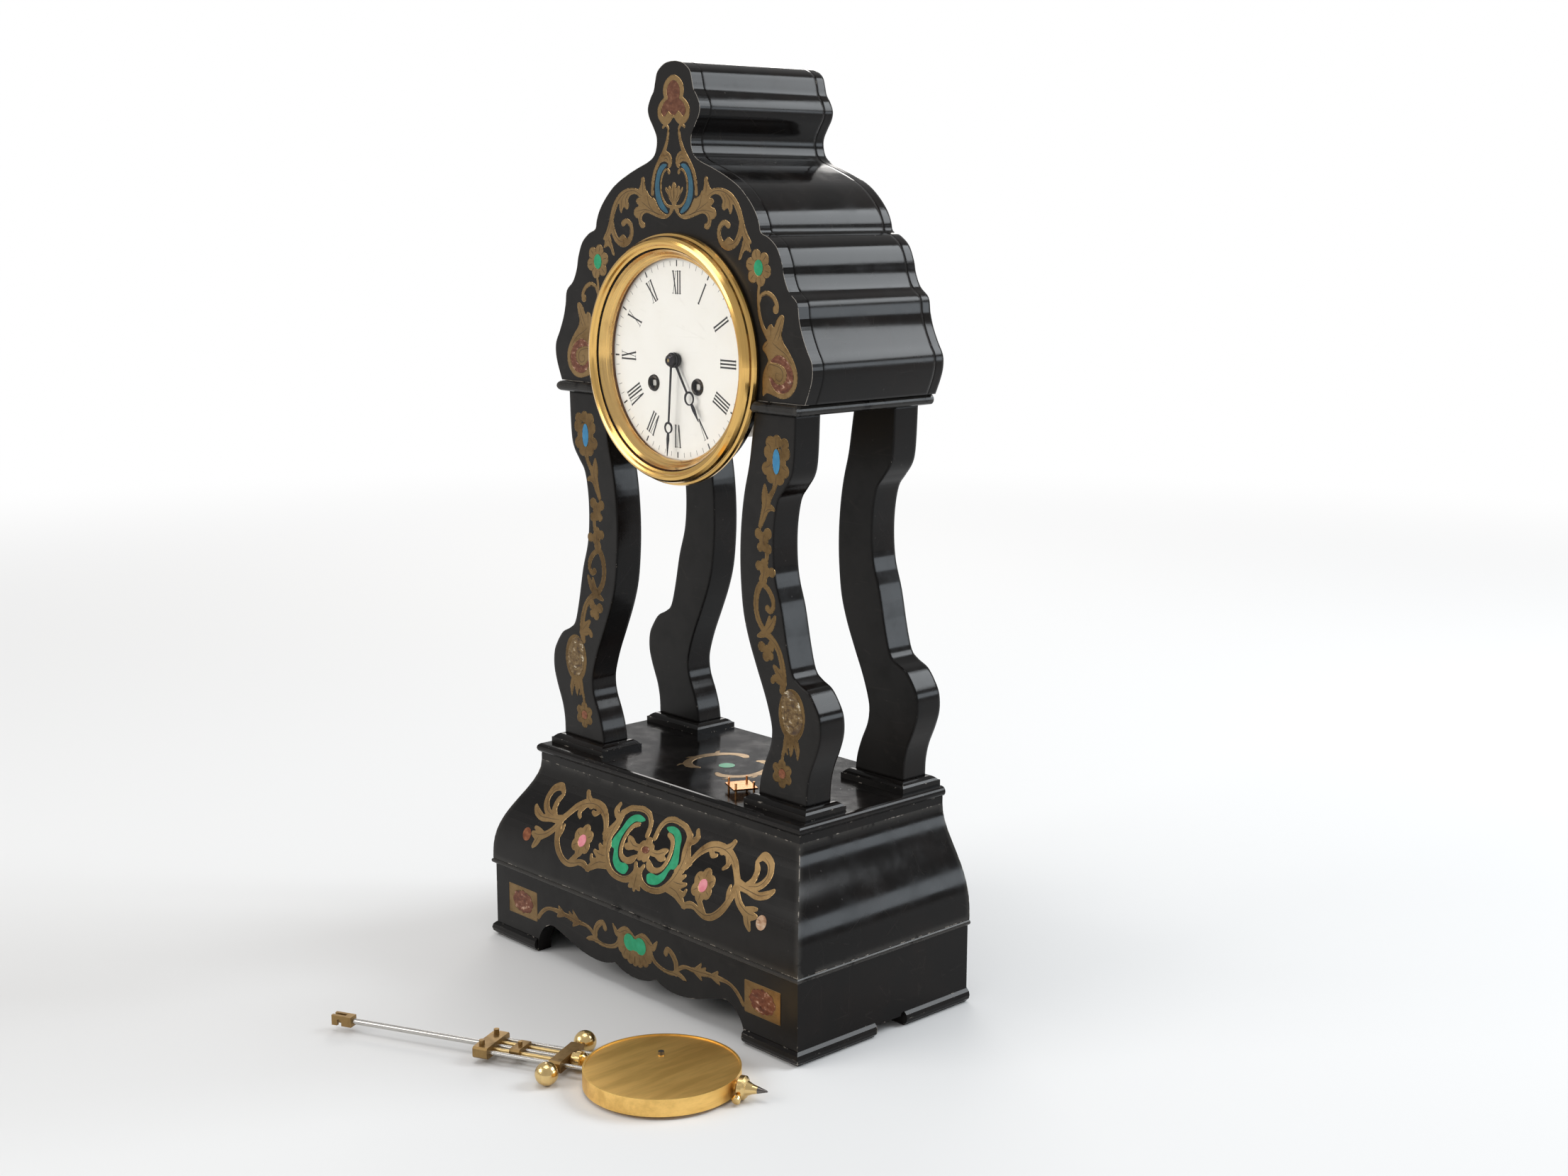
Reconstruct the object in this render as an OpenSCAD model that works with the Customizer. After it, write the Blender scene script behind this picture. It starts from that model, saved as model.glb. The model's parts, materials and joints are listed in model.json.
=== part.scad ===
/* [Base] */
// Width over the plinth faces
plinth_w = 254.4; // [240:0.2:280]
// Depth of the plinth, front face to back face
plinth_d = 124.6; // [118:0.2:140]
// Height of the plinth boards up to the bead
plinth_h = 43.2; // [40:0.2:50]
// Thickness of the plinth boards
plinth_wall = 9; // [7:0.5:12]
// Distance from the clock's middle to the inner end of a foot
foot_in = 88; // [84:0.5:92]
// Half the length of the gap in the middle of each side's foot
side_gap = 11; // [8:0.5:16]
// Height of the half-round foot strips
foot_h = 8; // [6:0.5:9]
// How far the foot strips stand out of the plinth
foot_out = 2.4; // [1.5:0.1:4]
// Thickness of the bead above the plinth
bead_h = 3; // [2:0.2:5]
// How far the bead stands out of the plinth
bead_out = 2; // [1.6:0.1:3]
// Height of the ogee section above the bead
ogee_h = 59.6; // [50:0.2:70]
// How far the foot of the ogee stands out past its neck
ogee_flare = 20.8; // [14:0.2:24]
// Thickness of the rounded top plate
top_plate_h = 5.5; // [4:0.1:8]
// Height of the plain fascia under the top plate
fascia_h = 4; // [2:0.2:6]
// Walls of the hollow ogee
ogee_wall = 12; // [9:0.5:14]

/* [Columns] */
// Height from the column blocks up to the sill
column_h = 196.8; // [180:0.2:215]
// Thickness of each column, front to back
column_d = 17; // [14:0.5:20]
// Distance from the clock's middle to the middle of a column foot
column_x = 82.4; // [78:0.2:84]
// Height of the column blocks
block_h = 5.5; // [4:0.1:8]
// Width of a column block
block_w = 46.4; // [42:0.2:48]
// Depth of a column block
block_d = 28.6; // [26:0.2:32]

/* [Head] */
// Height of the head above its sill
head_h = 167.2; // [160:0.2:176]
// Thickness of the head's wooden sides
head_wall = 11; // [8:0.5:14]
// Thickness of the front board
front_board = 7; // [6:0.5:9]
// Thickness of the back board
back_board = 6.3; // [5:0.1:8]
// Height of the sill under the head
sill_h = 5.7; // [5:0.1:7]
// How far the sill stands in front of the front board
sill_out = 4.6; // [3:0.1:6]
// Half-width of the sill
sill_half = 96.6; // [95:0.2:100]
// Greatest width of the head
head_w = 205.4; // [200:0.2:212]
// Width of the round lobe of the front board around the dial
lobe_w = 7.2; // [5:0.1:9]
// Height of the dial centre above the sill's underside
dial_up = 22.2; // [20:0.2:24]

/* [Dial and bezel] */
// Radius of the enamel dial
dial_r = 53.4; // [51:0.1:55]
// Thickness of the enamel dial
dial_t = 1.6; // [1.2:0.1:2]
// Width of the bezel's ring, from its sight opening to its outer edge
bezel_w = 13.1; // [12.6:0.1:14]
// How far the bezel stands in front of the board
bezel_t = 9.4; // [9:0.1:11]
// How far the bezel's sight opening stays inside the dial's edge
sight_in = 1.2; // [0.8:0.1:2]
// How far the tip of the minute hand stays inside the dial's edge
minute_in = 3; // [2:0.1:8]
// How far the tip of the hour hand stays inside the dial's edge
hour_in = 17; // [14:0.1:22]
// Where the minute hand points, clockwise from twelve
minute_at = 184.5; // [0:0.5:360]
// Where the hour hand points, clockwise from twelve
hour_at = 147.5; // [0:0.5:360]
// Radius of the winding holes
winding_hole_r = 3.4; // [3:0.1:4]

/* [Movement] */
// Radius of the two round movement plates
plate_r = 40; // [39.6:0.1:41.4]
// Thickness of a movement plate
plate_t = 2; // [1.5:0.1:2.5]
// Gap between the movement plates
plate_gap = 40; // [39:0.2:42]
// Running gap of every pivot and arbor
fit = 0.05; // [0.03:0.01:0.08]
// Length of the mainspring barrels without their wheel
barrel_len = 18; // [16:0.5:19]
// Thickness of the wheels
wheel_t = 1.2; // [1:0.1:1.5]
// Radius of the bell's rim
bell_r = 30; // [26:0.5:31]
// Length of the crutch below its arbor
crutch_len = 28; // [24:0.5:32]

/* [Pendulum] */
// Length from the hook's tip to the bob's lower point
pendulum_len = 241; // [236:0.5:250]
// Radius of the bob
bob_r = 38.6; // [34:0.1:40]
// Thickness of the bob
bob_t = 8.6; // [6:0.1:10]
// Radius of the two balls on the lower crossbar
ball_r = 5.8; // [5.5:0.1:6.5]
// Spacing of the gridiron rods
rod_pitch = 4.3; // [4:0.1:5]
// Radius of the gridiron rods
rod_r = 1; // [0.8:0.1:1.3]
// Radius of the single steel rod
stem_r = 1.5; // [1.2:0.1:1.6]
// Where the hook's tip lies, right of the clock's middle
hook_x = -69.5; // [-80:0.5:-60]
// Where the hook's tip lies, behind the clock's middle
hook_y = -205.5; // [-215:0.5:-200]
// Direction of the lying pendulum, from the +X axis
lying_at = 25.6; // [20:0.1:30]

/* [Hidden] */

// Colours of the pieces
ebony = "#1b1513";
brass = "#b8913f";
steel = "#8f9499";
enamel = "#f4f1ec";

// Levels up the base and the columns
back_y = plinth_d / 2;
front_y = -plinth_d / 2;
half_w = plinth_w / 2;
bead_z = plinth_h;
ogee_z = bead_z + bead_h;
fascia_z = ogee_z + ogee_h;
plate_z = fascia_z + fascia_h;
block_z = plate_z + top_plate_h;
column_z = block_z + block_h;
sill_z = column_z + column_h;
head_z = sill_z + sill_h;
dial_z = sill_z + dial_up;

// Sizes of the base section
ogee_foot_out = 1.2;
neck_in = ogee_flare - ogee_foot_out;
top_plate_in = neck_in - 2;
side_gap_y = 3;

// Faces of the head, front to back
board_y = -31;
shell_y = board_y + front_board;
back_board_y = back_y - back_board;
nothing = 0.02;

// Depths of the dial and the movement
dial_y = board_y + 1.7;
dial_plate_y = dial_y + dial_t;
dial_plate_t = 1;
front_plate_y = shell_y + 4;
inner_y = front_plate_y + plate_t;
back_plate_y = inner_y + plate_gap;
rear_y = back_plate_y + plate_t;
surround_in = dial_r + 0.6;
surround_out = surround_in + 1.4;
lobe_r = dial_r + lobe_w;
sight_r = dial_r - sight_in;
bezel_r = sight_r + bezel_w;
bezel_gap = 0.1;
minute_len = dial_r - minute_in;
hour_len = dial_r - hour_in;
drum_in = plate_r + 2;
drum_out = drum_in + 1.5;
drum_end_y = rear_y + 2;
strap_in = plate_r + 0.4;
strap_t = 1.2;

// Hinges of the bezel and the rear door: half the height of the moving barrel
hinge_r = 1.5;
hinge_pin_r = 0.7;
hinge_half = 3.3;
hinge_barrel_h = 3;
hinge_off = hinge_half + 0.2 + hinge_barrel_h / 2;

// The rear opening sits above the dial centre, clear of the sill
rear_open_r = 41;
rear_ring_t = 2.4;
rear_flange = 2.6;
rear_flange_t = 0.8;
rear_z = dial_z + rear_open_r + sill_h - dial_up + 7;
rear_door_r = rear_open_r - 0.6;
rear_door_t = 1.8;
rear_door_y = back_y + rear_flange_t + 0.1;
rear_hinge_x = -rear_open_r - rear_flange - 1.8;
rear_hinge_y = rear_door_y + rear_door_t / 2;

// Places of the arbors across the plates, right and up from the centre
going_at = [16.2, -13.1];
strike_at = [-19, -13.1];
inter_at = [17.4, 5.6];
third_at = [-4.2, 15.07];
escape_at = [0, 26.36];
anchor_at = [0, 36];
second_at = [-18.4, 5.64];
pin_at = [-18.8, 19.64];
lock_at = [-27.4, 16.54];
fly_at = [-31.6, 12.04];
hammer_at = [-36.6, 3.5];
minute_wheel_at = [0, 8.85];
pillar_places = [[15, -33.2], [-15, -33.2], [10.8, 34.8], [-10.8, 34.8]];

// Teeth of each wheel and leaves of the pinion that it drives
great_teeth = 60;
great_leaves = 8;
inter_teeth = 64;
inter_leaves = 8;
centre_teeth = 72;
centre_leaves = 6;
third_teeth = 66;
third_leaves = 6;
escape_teeth = 32;
second_teeth = 64;
second_leaves = 8;
pin_teeth = 56;
pin_leaves = 8;
lock_teeth = 42;
lock_leaves = 7;
cannon_leaves = 12;
minute_teeth = 36;
minute_leaves = 10;
hour_teeth = 40;

// Radii of wheels and pinions, worked out from centre distances and tooth counts
mesh_gap = 0.05;
great_ratio = great_teeth / great_leaves;
inter_ratio = inter_teeth / inter_leaves;
centre_ratio = centre_teeth / centre_leaves;
third_ratio = third_teeth / third_leaves;
second_ratio = second_teeth / second_leaves;
pin_ratio = pin_teeth / pin_leaves;
lock_ratio = lock_teeth / lock_leaves;
hour_ratio = hour_teeth / minute_leaves;
cannon_ratio = minute_teeth / cannon_leaves;
function pinion_share(a, b, ratio) = (norm(a - b) - mesh_gap) / (1 + ratio);
function wheel_share(a, b, ratio) = pinion_share(a, b, ratio) * ratio;
great_r = wheel_share(going_at, inter_at, great_ratio);
inter_r = wheel_share(inter_at, [0, 0], inter_ratio);
centre_r = wheel_share([0, 0], third_at, centre_ratio);
third_r = wheel_share(third_at, escape_at, third_ratio);
escape_r = 8;
strike_great_r = wheel_share(strike_at, second_at, great_ratio);
second_r = wheel_share(second_at, pin_at, second_ratio);
pin_r = wheel_share(pin_at, lock_at, pin_ratio);
lock_r = wheel_share(lock_at, fly_at, lock_ratio);
minute_wheel_r = wheel_share([0, 0], minute_wheel_at, cannon_ratio);
minute_pinion_r = pinion_share([0, 0], minute_wheel_at, hour_ratio);
hour_wheel_r = wheel_share([0, 0], minute_wheel_at, hour_ratio);
cannon_pinion_r = pinion_share([0, 0], minute_wheel_at, cannon_ratio);

// Depth of each wheel behind the front plate's inner face
great_in = barrel_len + 1;
inter_in = great_in + 4;
centre_in = inter_in + 4;
third_in = centre_in + 4;
escape_in = third_in + 4;

// Pivots and arbors
pivot_r = 0.6;
arbor_r = 0.9;
winding_square = 3;
winding_arbor_r = 2.4;

// Heights of the hands in front of the dial
hour_hand_y = dial_y - 2.2;
minute_hand_y = hour_hand_y - 1.6;
hand_t = 0.5;
collet_r = 4;
hour_pipe_r = 2.7;
cannon_r = 1.75;
centre_arbor_r = 1;
cannon_end = 0.3;

// Rear of the movement
crutch_y = rear_y + 1;
cock_y = rear_y + 3.6;
cock_t = 2.4;
hang_y = cock_y + cock_t + 2.2;
bell_y = hang_y + 6.2;
bell_deep = 12;
bell_t = 1.2;
hang_up = anchor_at[1] - 8;
bell_up = 4;
stud_r = 1.6;
spring_top = hang_up + 7.15;

// Lying pendulum, along its own length from the hook's tip
axis_z = ball_r;
hook_block = 11.5;
stem_end = 88;
upper_bar_at = 92;
middle_bar_at = 108.5;
lower_bar_at = 134;
lower_bar_w = 6.4;
lower_bar_half = 13;
nut_at = lower_bar_at + lower_bar_w / 2 + 4.35;
bob_at = 186;
bob_end = bob_at + bob_r;
point_at = bob_end + 11.3;
ball_off = 20.6;
rod_in = 5;

// Half of a shape and its mirror image across the clock
module both_sides() {
    children();
    mirror([1, 0, 0]) children();
}

// Lies a flat drawing, drawn in X and Z, between two depths
module upright(y0, y1) {
    translate([0, y1, 0]) rotate([90, 0, 0]) linear_extrude(y1 - y0) children();
}

// Moulding with mitred corners round the front and both sides, level by level:
// each level is [how far out of the plinth face, height]
module mitred(levels, half, front, back) {
    stepped([for (l = levels) [l[1], half + l[0], front - l[0], back]]);
}

// Solid through rectangles one above the other: each is [height, half-width, front, back]
module stepped(levels) {
    n = len(levels);
    ring = [for (l = levels)
        each [[-l[1], l[3], l[0]], [-l[1], l[2], l[0]], [l[1], l[2], l[0]], [l[1], l[3], l[0]]]];
    walls = [for (i = [0 : n - 2], k = [0 : 3])
        [4 * i + k, 4 * i + 4 + k, 4 * i + 4 + (k + 1) % 4, 4 * i + (k + 1) % 4]];
    polyhedron(ring, concat(walls, [[0, 1, 2, 3]], [[4 * n - 1, 4 * n - 2, 4 * n - 3, 4 * n - 4]]));
}

// Round nose of a board: levels from its lower to its upper edge
function nose(out, z, h, steps = 8) =
    [for (i = [0 : steps]) let(a = 180 * i / steps)
        [out - h / 2 * (1 - sin(a)), z + h / 2 * (1 - cos(a))]];

// Cylinder along the depth of the clock, at a place across the plates
module arbor(at, r, y0, y1, fn = 24) {
    translate([at[0], y1, dial_z + at[1]]) rotate([90, 0, 0]) cylinder(r = r, h = y1 - y0, $fn = fn);
}

// Flat toothed wheel, solid or with openings between its spokes. The root of each tooth
// lies at the given share of the way to the next tooth
module wheel(at, r, teeth, y0, t = wheel_t, crossings = 0, lean = 0.5, deep = 0.1) {
    depth = min(r * deep, 0.9);
    translate([at[0], y0 + t, dial_z + at[1]]) rotate([90, 0, 0]) linear_extrude(t) difference() {
        polygon([for (i = [0 : teeth - 1], part = [0, 1])
            let(a = 360 * (i + part * lean) / teeth, q = r - part * depth) [q * sin(a), q * cos(a)]]);
        if (crossings > 0)
            for (k = [0 : crossings - 1]) rotate(360 * k / crossings)
                crossing(r * 0.3, r - depth - r * 0.12, 360 / crossings, r * 0.09);
    }
}

// Opening between two spokes of a wheel
module crossing(r0, r1, span, bar) {
    inner_half = span / 2 - asin(min(1, bar / r0));
    outer_half = span / 2 - asin(bar / r1);
    polygon(concat(
        [for (a = [-outer_half : outer_half / 3 : outer_half + 0.01]) r1 * [sin(a), cos(a)]],
        [for (a = [inner_half : -inner_half : -inner_half - 0.01]) r0 * [sin(a), cos(a)]]));
}

// Small toothed pinion
module pinion(at, r, leaves, y0, y1) {
    wheel(at, r, leaves, y0, y1 - y0, 0, 0.5, 0.3);
}

// Arbor of a train wheel, with a pivot in each movement plate
module train_arbor(at, r = arbor_r) {
    arbor(at, r, inner_y + 0.3, back_plate_y - 0.3, 16);
    arbor(at, pivot_r, front_plate_y, rear_y, 16);
}

// Place between b and c on a smooth curve through a, b, c and d, at a share t of the way
function between(a, b, c, d, t) = b + t * (c - a) / 2 + t * t * (a - 2.5 * b + 2 * c - d / 2)
    + t * t * t * (1.5 * (b - c) + (d - a) / 2);

// Smooth curve through all the given places
function smooth(p, parts = 4) = concat([for (i = [0 : len(p) - 2], j = [0 : parts - 1])
    between(p[max(i - 1, 0)], p[i], p[i + 1], p[min(i + 2, len(p) - 1)], j / parts)], [p[len(p) - 1]]);

// Outline of the head, half of it from the top down to the sill:
// heights are measured up from the sill's top
head_outline = [
    [0, 167.2], [2.6, 167.1], [7.5, 166], [12.6, 162.4], [14.4, 157.4], [15.6, 153], [18.2, 149.4],
    [20.4, 144.5], [19.6, 140], [16.4, 135], [13.7, 130], [13.7, 125], [15.7, 120.5],
    [20, 117.6], [28, 114.7], [38, 110.8], [48.5, 105.5], [56, 99.4], [61.5, 93],
    [64.4, 87.2], [65.8, 82.6], [71.4, 80.2], [77.4, 75.4], [81, 67.8], [82.6, 61.2],
    [86, 54.4], [91.8, 49.2], [93.2, 41.6], [95.4, 34.2], [99, 26.6], [102.4, 20.4],
    [102.7, 14], [100.8, 7.4], [97.6, 0]
];

head_outline_half = max([for (q = head_outline) q[0]]);

// A place of the outline at the head's own width and height
function on_head(q) = [q[0] * head_w / 2 / head_outline_half, head_z + q[1] * head_h / head_outline[0][1]];

// The head's smooth outline, both halves
module head_profile() {
    half = [for (q = smooth(head_outline)) on_head(q)];
    polygon(concat(half, [for (i = [len(half) - 1 : -1 : 1]) [-half[i][0], half[i][1]]]));
}

// Edges of a column: the outer one going down and the inner one going up.
// The first number is the distance from the middle of the column's foot, the second the
// height as a share of the column's height
column_outer = [
    [8.4, 1], [7.8, 0.922], [6.8, 0.868], [4.6, 0.838], [0, 0.808], [-4.4, 0.777],
    [-7, 0.713], [-7.4, 0.64], [-5.8, 0.572], [-1.2, 0.498], [2.8, 0.405], [6.6, 0.34],
    [11.4, 0.318], [18.4, 0.3], [23.6, 0.268], [26.8, 0.235], [27.2, 0.19], [24.6, 0.145],
    [20, 0.09], [18, 0.045], [17.6, 0]
];
column_inner = [
    [-17.6, 0], [-16.4, 0.04], [-13.4, 0.085], [-9.4, 0.13], [-8, 0.165], [-8.6, 0.2],
    [-12.8, 0.262], [-19.4, 0.335], [-25.4, 0.405], [-29.6, 0.475], [-31.6, 0.56],
    [-32, 0.64], [-31, 0.718], [-28.8, 0.79], [-25.2, 0.862], [-23, 0.93], [-20.8, 1]
];

// One column with its foot's middle at x, standing from y0 back
module column_at(side, y0) {
    color(ebony) upright(y0, y0 + column_d)
        polygon([for (q = concat(smooth(column_outer), smooth(column_inner)))
            [side * (column_x + q[0]), column_z + q[1] * column_h]]);
}

// Middle of the front and the rear column blocks
front_block_y = board_y + column_d / 2;
rear_block_y = back_y - block_d / 2;

// Levels of the ogee, from its foot up to its neck: a hollow curve over a round one
function ogee_levels(z, h) = [for (i = [0 : 14]) let(s = i / 14)
    [ogee_foot_out - ogee_flare * ogee_fall(s), z + s * h]];

// Share of the flare that is lost at a share of the height
function ogee_fall(s) = (1 - cos(180 * pow(s, 1.33))) / 2;

// Lower edge of the plinth's front: two feet, two arches and a lobed apron
module apron_cut() {
    arch = [[foot_in, -1], [foot_in - 1, 7], [foot_in - 3.5, 12.4], [foot_in - 8, 16.8],
        [foot_in - 14, 19], [foot_in - 20, 17.8], [foot_in - 28, 15.4],
        [foot_in - 41, 11.6], [foot_in - 54, 10.2], [foot_in - 63, 11], [17.4, 13.4]];
    lobe = [[17, 13.3], [11, 10.8], [3, 9.3]];
    half = concat(smooth(arch), smooth(lobe));
    polygon(concat(half, [for (i = [len(half) - 1 : -1 : 0]) [-half[i][0], half[i][1]]]));
}

// Hollow plinth of four boards, with a lobed apron between its feet
module plinth() {
    rear_arch = foot_in - 1;
    color(ebony) difference() {
        translate([-half_w, front_y, 0]) cube([plinth_w, plinth_d, plinth_h]);
        translate([-half_w + plinth_wall, front_y + plinth_wall, -1])
            cube([plinth_w - 2 * plinth_wall, plinth_d - 2 * plinth_wall, plinth_h + 2]);
        upright(front_y - 1, front_y + plinth_wall + 1) apron_cut();
        upright(back_y - plinth_wall - 1, back_y + 1)
            translate([-rear_arch, -1]) square([2 * rear_arch, 13]);
        translate([-half_w - 1, side_gap_y - side_gap, -1])
            cube([plinth_w + 2, 2 * side_gap, 1 + foot_h * 0.7]);
    }
}

// Half-round strips along the foot of the plinth, open where the plinth is cut away
module foot_strips() {
    color(ebony) difference() {
        mitred(nose(foot_out, 0, foot_h, 6), half_w, front_y, back_y);
        translate([-half_w, front_y, -1]) cube([plinth_w, plinth_d + 2, foot_h + 2]);
        translate([-foot_in, front_y - 10, -1]) cube([2 * foot_in, 20, foot_h + 2]);
        translate([-half_w - 10, side_gap_y - side_gap, -1])
            cube([plinth_w + 20, 2 * side_gap, foot_h + 2]);
    }
}

// Thin rounded bead between the plinth and the ogee
module bead_strip() {
    inner = plinth_wall + 4;
    color(ebony) difference() {
        mitred(nose(bead_out, bead_z, bead_h, 6), half_w, front_y, back_y);
        translate([-half_w + inner, front_y + inner, bead_z - 1])
            cube([plinth_w - 2 * inner, plinth_d - 2 * inner, bead_h + 2]);
    }
}

// Hollow ogee section with mitred corners and a flat back
module ogee_base() {
    hollow_half = half_w - neck_in - ogee_wall;
    color(ebony) difference() {
        mitred(ogee_levels(ogee_z, ogee_h), half_w, front_y, back_y);
        translate([-hollow_half, front_y + neck_in + ogee_wall, ogee_z - 1])
            cube([2 * hollow_half, plinth_d - neck_in - 2 * ogee_wall, ogee_h - ogee_wall + 1]);
    }
}

// Top plate with a rounded edge over a plain fascia
module base_plate() {
    color(ebony) {
        mitred([[-neck_in, fascia_z], [-neck_in, plate_z]], half_w, front_y, back_y);
        mitred(nose(-top_plate_in, plate_z, top_plate_h), half_w, front_y, back_y);
    }
}

// Four stepped blocks under the columns
module column_blocks() {
    face_h = block_h * 0.56;
    slope = 4;
    color(ebony) for (x = [-column_x, column_x], y = [front_block_y, rear_block_y])
        translate([x, y, block_z]) {
            translate([-block_w / 2, -block_d / 2, 0]) cube([block_w, block_d, face_h]);
            translate([0, 0, face_h]) block_top(slope, block_h - face_h);
        }
}

// Hollow-curved upper step of a block
module block_top(slope, h) {
    ledge = 0.6;
    stepped([for (s = [0 : 0.25 : 1]) let(w = ledge + slope * s, d = block_d / 2 - w)
        [h * (1 - pow(1 - s, 2)), block_w / 2 - w, -d, d]]);
}

module front_left_column() column_at(-1, board_y);
module front_right_column() column_at(1, board_y);
module rear_left_column() column_at(-1, rear_block_y - column_d / 2);
module rear_right_column() column_at(1, rear_block_y - column_d / 2);

// Thin board with a rounded edge under the head, open for the dial and the movement
module head_sill() {
    opening = drum_out + 1;
    color(ebony) difference() {
        mitred(nose(0, sill_z, sill_h), sill_half, board_y - sill_out, back_y);
        arbor([0, 0], lobe_r + 0.1, board_y - 0.1, shell_y, 96);
        arbor([0, 0], bezel_r + 1.2, board_y - sill_out - 1, board_y, 96);
        translate([-opening, shell_y, sill_z - 1])
            cube([2 * opening, back_board_y - shell_y - 4, sill_h + 2]);
    }
}

// Front board: scalloped outline above the sill and a round lobe round the dial
module head_front() {
    color(ebony) difference() {
        union() {
            upright(board_y, shell_y) head_profile();
            arbor([0, 0], lobe_r, board_y, shell_y, 96);
        }
        arbor([0, 0], surround_out + nothing, board_y - 1, shell_y + 1, 96);
    }
}

// Hollow of the head, set in from its outline
module head_hollow() {
    half = [for (i = [len(head_outline) - 1 : -1 : 0]) if (head_outline[i][1] < 100)
        on_head([head_outline[i][0], head_outline[i][1] > 0 ? head_outline[i][1] : -1]) - [head_wall, 0]];
    polygon(concat(half, [for (i = [len(half) - 1 : -1 : 0]) [-half[i][0], half[i][1]]]));
}

// Body of the head: its sides, shoulders and finial, waved along the outline
module head_shell() {
    color(ebony) difference() {
        upright(shell_y, back_board_y) head_profile();
        upright(shell_y - 1, back_board_y + 1) head_hollow();
    }
}

// Back board with a round opening for the rear door
module head_back() {
    color(ebony) difference() {
        upright(back_board_y, back_y) head_profile();
        arbor([0, rear_z - dial_z], rear_open_r, back_board_y - 1, back_y + 1, 96);
    }
}

// Thin drum round the movement, from the front board to the back plate
module movement_drum() {
    color("#2a211d") difference() {
        arbor([0, 0], drum_out, shell_y, drum_end_y, 96);
        arbor([0, 0], drum_in, shell_y - 1, drum_end_y + 1, 96);
    }
}

// Fixed brass ring set in the front board; it holds the dial and the straps
module dial_surround() {
    lip = 2;
    ear_t = 1.6;
    color(brass) {
        difference() {
            arbor([0, 0], surround_out, board_y + 0.3, shell_y, 96);
            arbor([0, 0], surround_in, board_y, shell_y + 1, 96);
        }
        difference() {
            arbor([0, 0], surround_in + nothing, dial_plate_y + dial_plate_t, shell_y, 96);
            arbor([0, 0], surround_in - lip, dial_plate_y, shell_y + 1, 96);
        }
        both_sides() translate([strap_in, shell_y - ear_t, dial_z - 5])
            cube([surround_in - strap_in - 1, ear_t, 10]);
    }
}

// Brass plate behind the enamel, with its feet onto the movement
module dial_plate() {
    foot_places = [[0, -36], [31, 19], [-31, 19]];
    color(brass) {
        difference() {
            arbor([0, 0], surround_in - 0.1, dial_plate_y, dial_plate_y + dial_plate_t, 96);
            dial_holes(dial_plate_y - 1, dial_plate_y + dial_plate_t + 1);
        }
        for (q = foot_places) arbor(q, 1.5, dial_plate_y + dial_plate_t, front_plate_y);
    }
}

// The holes of the dial: one for the hands and two for the key
module dial_holes(y0, y1) {
    arbor([0, 0], hour_pipe_r + 0.6, y0, y1);
    arbor(going_at, winding_hole_r + 0.3, y0, y1, 32);
    arbor(strike_at, winding_hole_r + 0.3, y0, y1, 32);
}

// White enamel dial with a bevelled rim
module dial() {
    color(enamel) difference() {
        translate([0, dial_y + dial_t, dial_z]) rotate([90, 0, 0]) rotate_extrude($fn = 96)
            polygon([[0, 0], [dial_r, 0], [dial_r, dial_t * 0.5], [dial_r - 1.2, dial_t], [0, dial_t]]);
        dial_holes(dial_y - 1, dial_y + dial_t + 1);
    }
}

// Eyelets of the two winding holes
module winding_grommets() {
    proud = 1.1;
    color("#171414") for (q = [going_at, strike_at])
        translate([q[0], dial_y + dial_t, dial_z + q[1]]) rotate([90, 0, 0]) rotate_extrude($fn = 32)
            polygon([
                [winding_hole_r - 0.5, 0], [winding_hole_r + 0.28, 0], [winding_hole_r + 0.28, dial_t],
                [winding_hole_r + 1.1, dial_t], [winding_hole_r + 0.7, dial_t + proud * 0.8],
                [winding_hole_r, dial_t + proud], [winding_hole_r - 0.5, dial_t + proud * 0.8]
            ]);
}

// The glass sits in a groove of the bezel
glass_t = 1.2;
glass_r = bezel_r - 7;
glass_front = bezel_t - 2.6;

// Section of the bezel: radius, then distance in front of the board
bezel_section = [
    [bezel_r - 1.2, bezel_gap], [bezel_r - 0.2, 0.9], [bezel_r, 2.2], [bezel_r - 0.5, 3.6],
    [bezel_r - 1.5, 4.4], [bezel_r - 1.7, 5.6], [bezel_r - 2.3, 7.4], [bezel_r - 3.4, 8.8],
    [bezel_r - 4.8, bezel_t], [bezel_r - 6, bezel_t - 0.5], [bezel_r - 6.6, bezel_t - 1.7],
    [bezel_r - 7.8, bezel_t - 2.1], [bezel_r - 7.8, glass_front], [glass_r, glass_front],
    [glass_r, glass_front - glass_t], [bezel_r - 8.6, glass_front - glass_t], [sight_r + 3.4, 4],
    [sight_r + 2, 2.6], [sight_r + 1.5, 2.5], [sight_r + 0.5, 1.6], [sight_r, 0.5],
    [sight_r, bezel_gap]
];

// Stepped brass bezel with its half of the hinge
module bezel() {
    color(brass) {
        difference() {
            translate([0, board_y, dial_z]) rotate([90, 0, 0]) rotate_extrude($fn = 96)
                polygon(bezel_section);
            for (side = [-1, 1]) translate([hinge_x, hinge_y, dial_z + side * hinge_off])
                cylinder(r = hinge_r + 0.4, h = hinge_barrel_h + 0.8, center = true, $fn = 24);
        }
        difference() {
            union() {
                translate([hinge_x, hinge_y, dial_z])
                    cylinder(r = hinge_r, h = 2 * hinge_half, center = true, $fn = 24);
                translate([hinge_x, hinge_y - 0.9, dial_z - hinge_half]) cube([3.4, 1.6, 2 * hinge_half]);
            }
            translate([hinge_x, hinge_y, dial_z])
                cylinder(r = hinge_pin_r + fit, h = 8, center = true, $fn = 24);
        }
    }
}

// Vertical hinge of the bezel, at nine o'clock
hinge_x = -bezel_r - 1.7;
hinge_y = board_y - hinge_r - 0.3;

// Flat glass held in the inner step of the bezel
module bezel_glass() {
    front = board_y - glass_front;
    color("#dfe8ea", 0.35) arbor([0, 0], glass_r, front, front + glass_t, 96);
}

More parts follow.
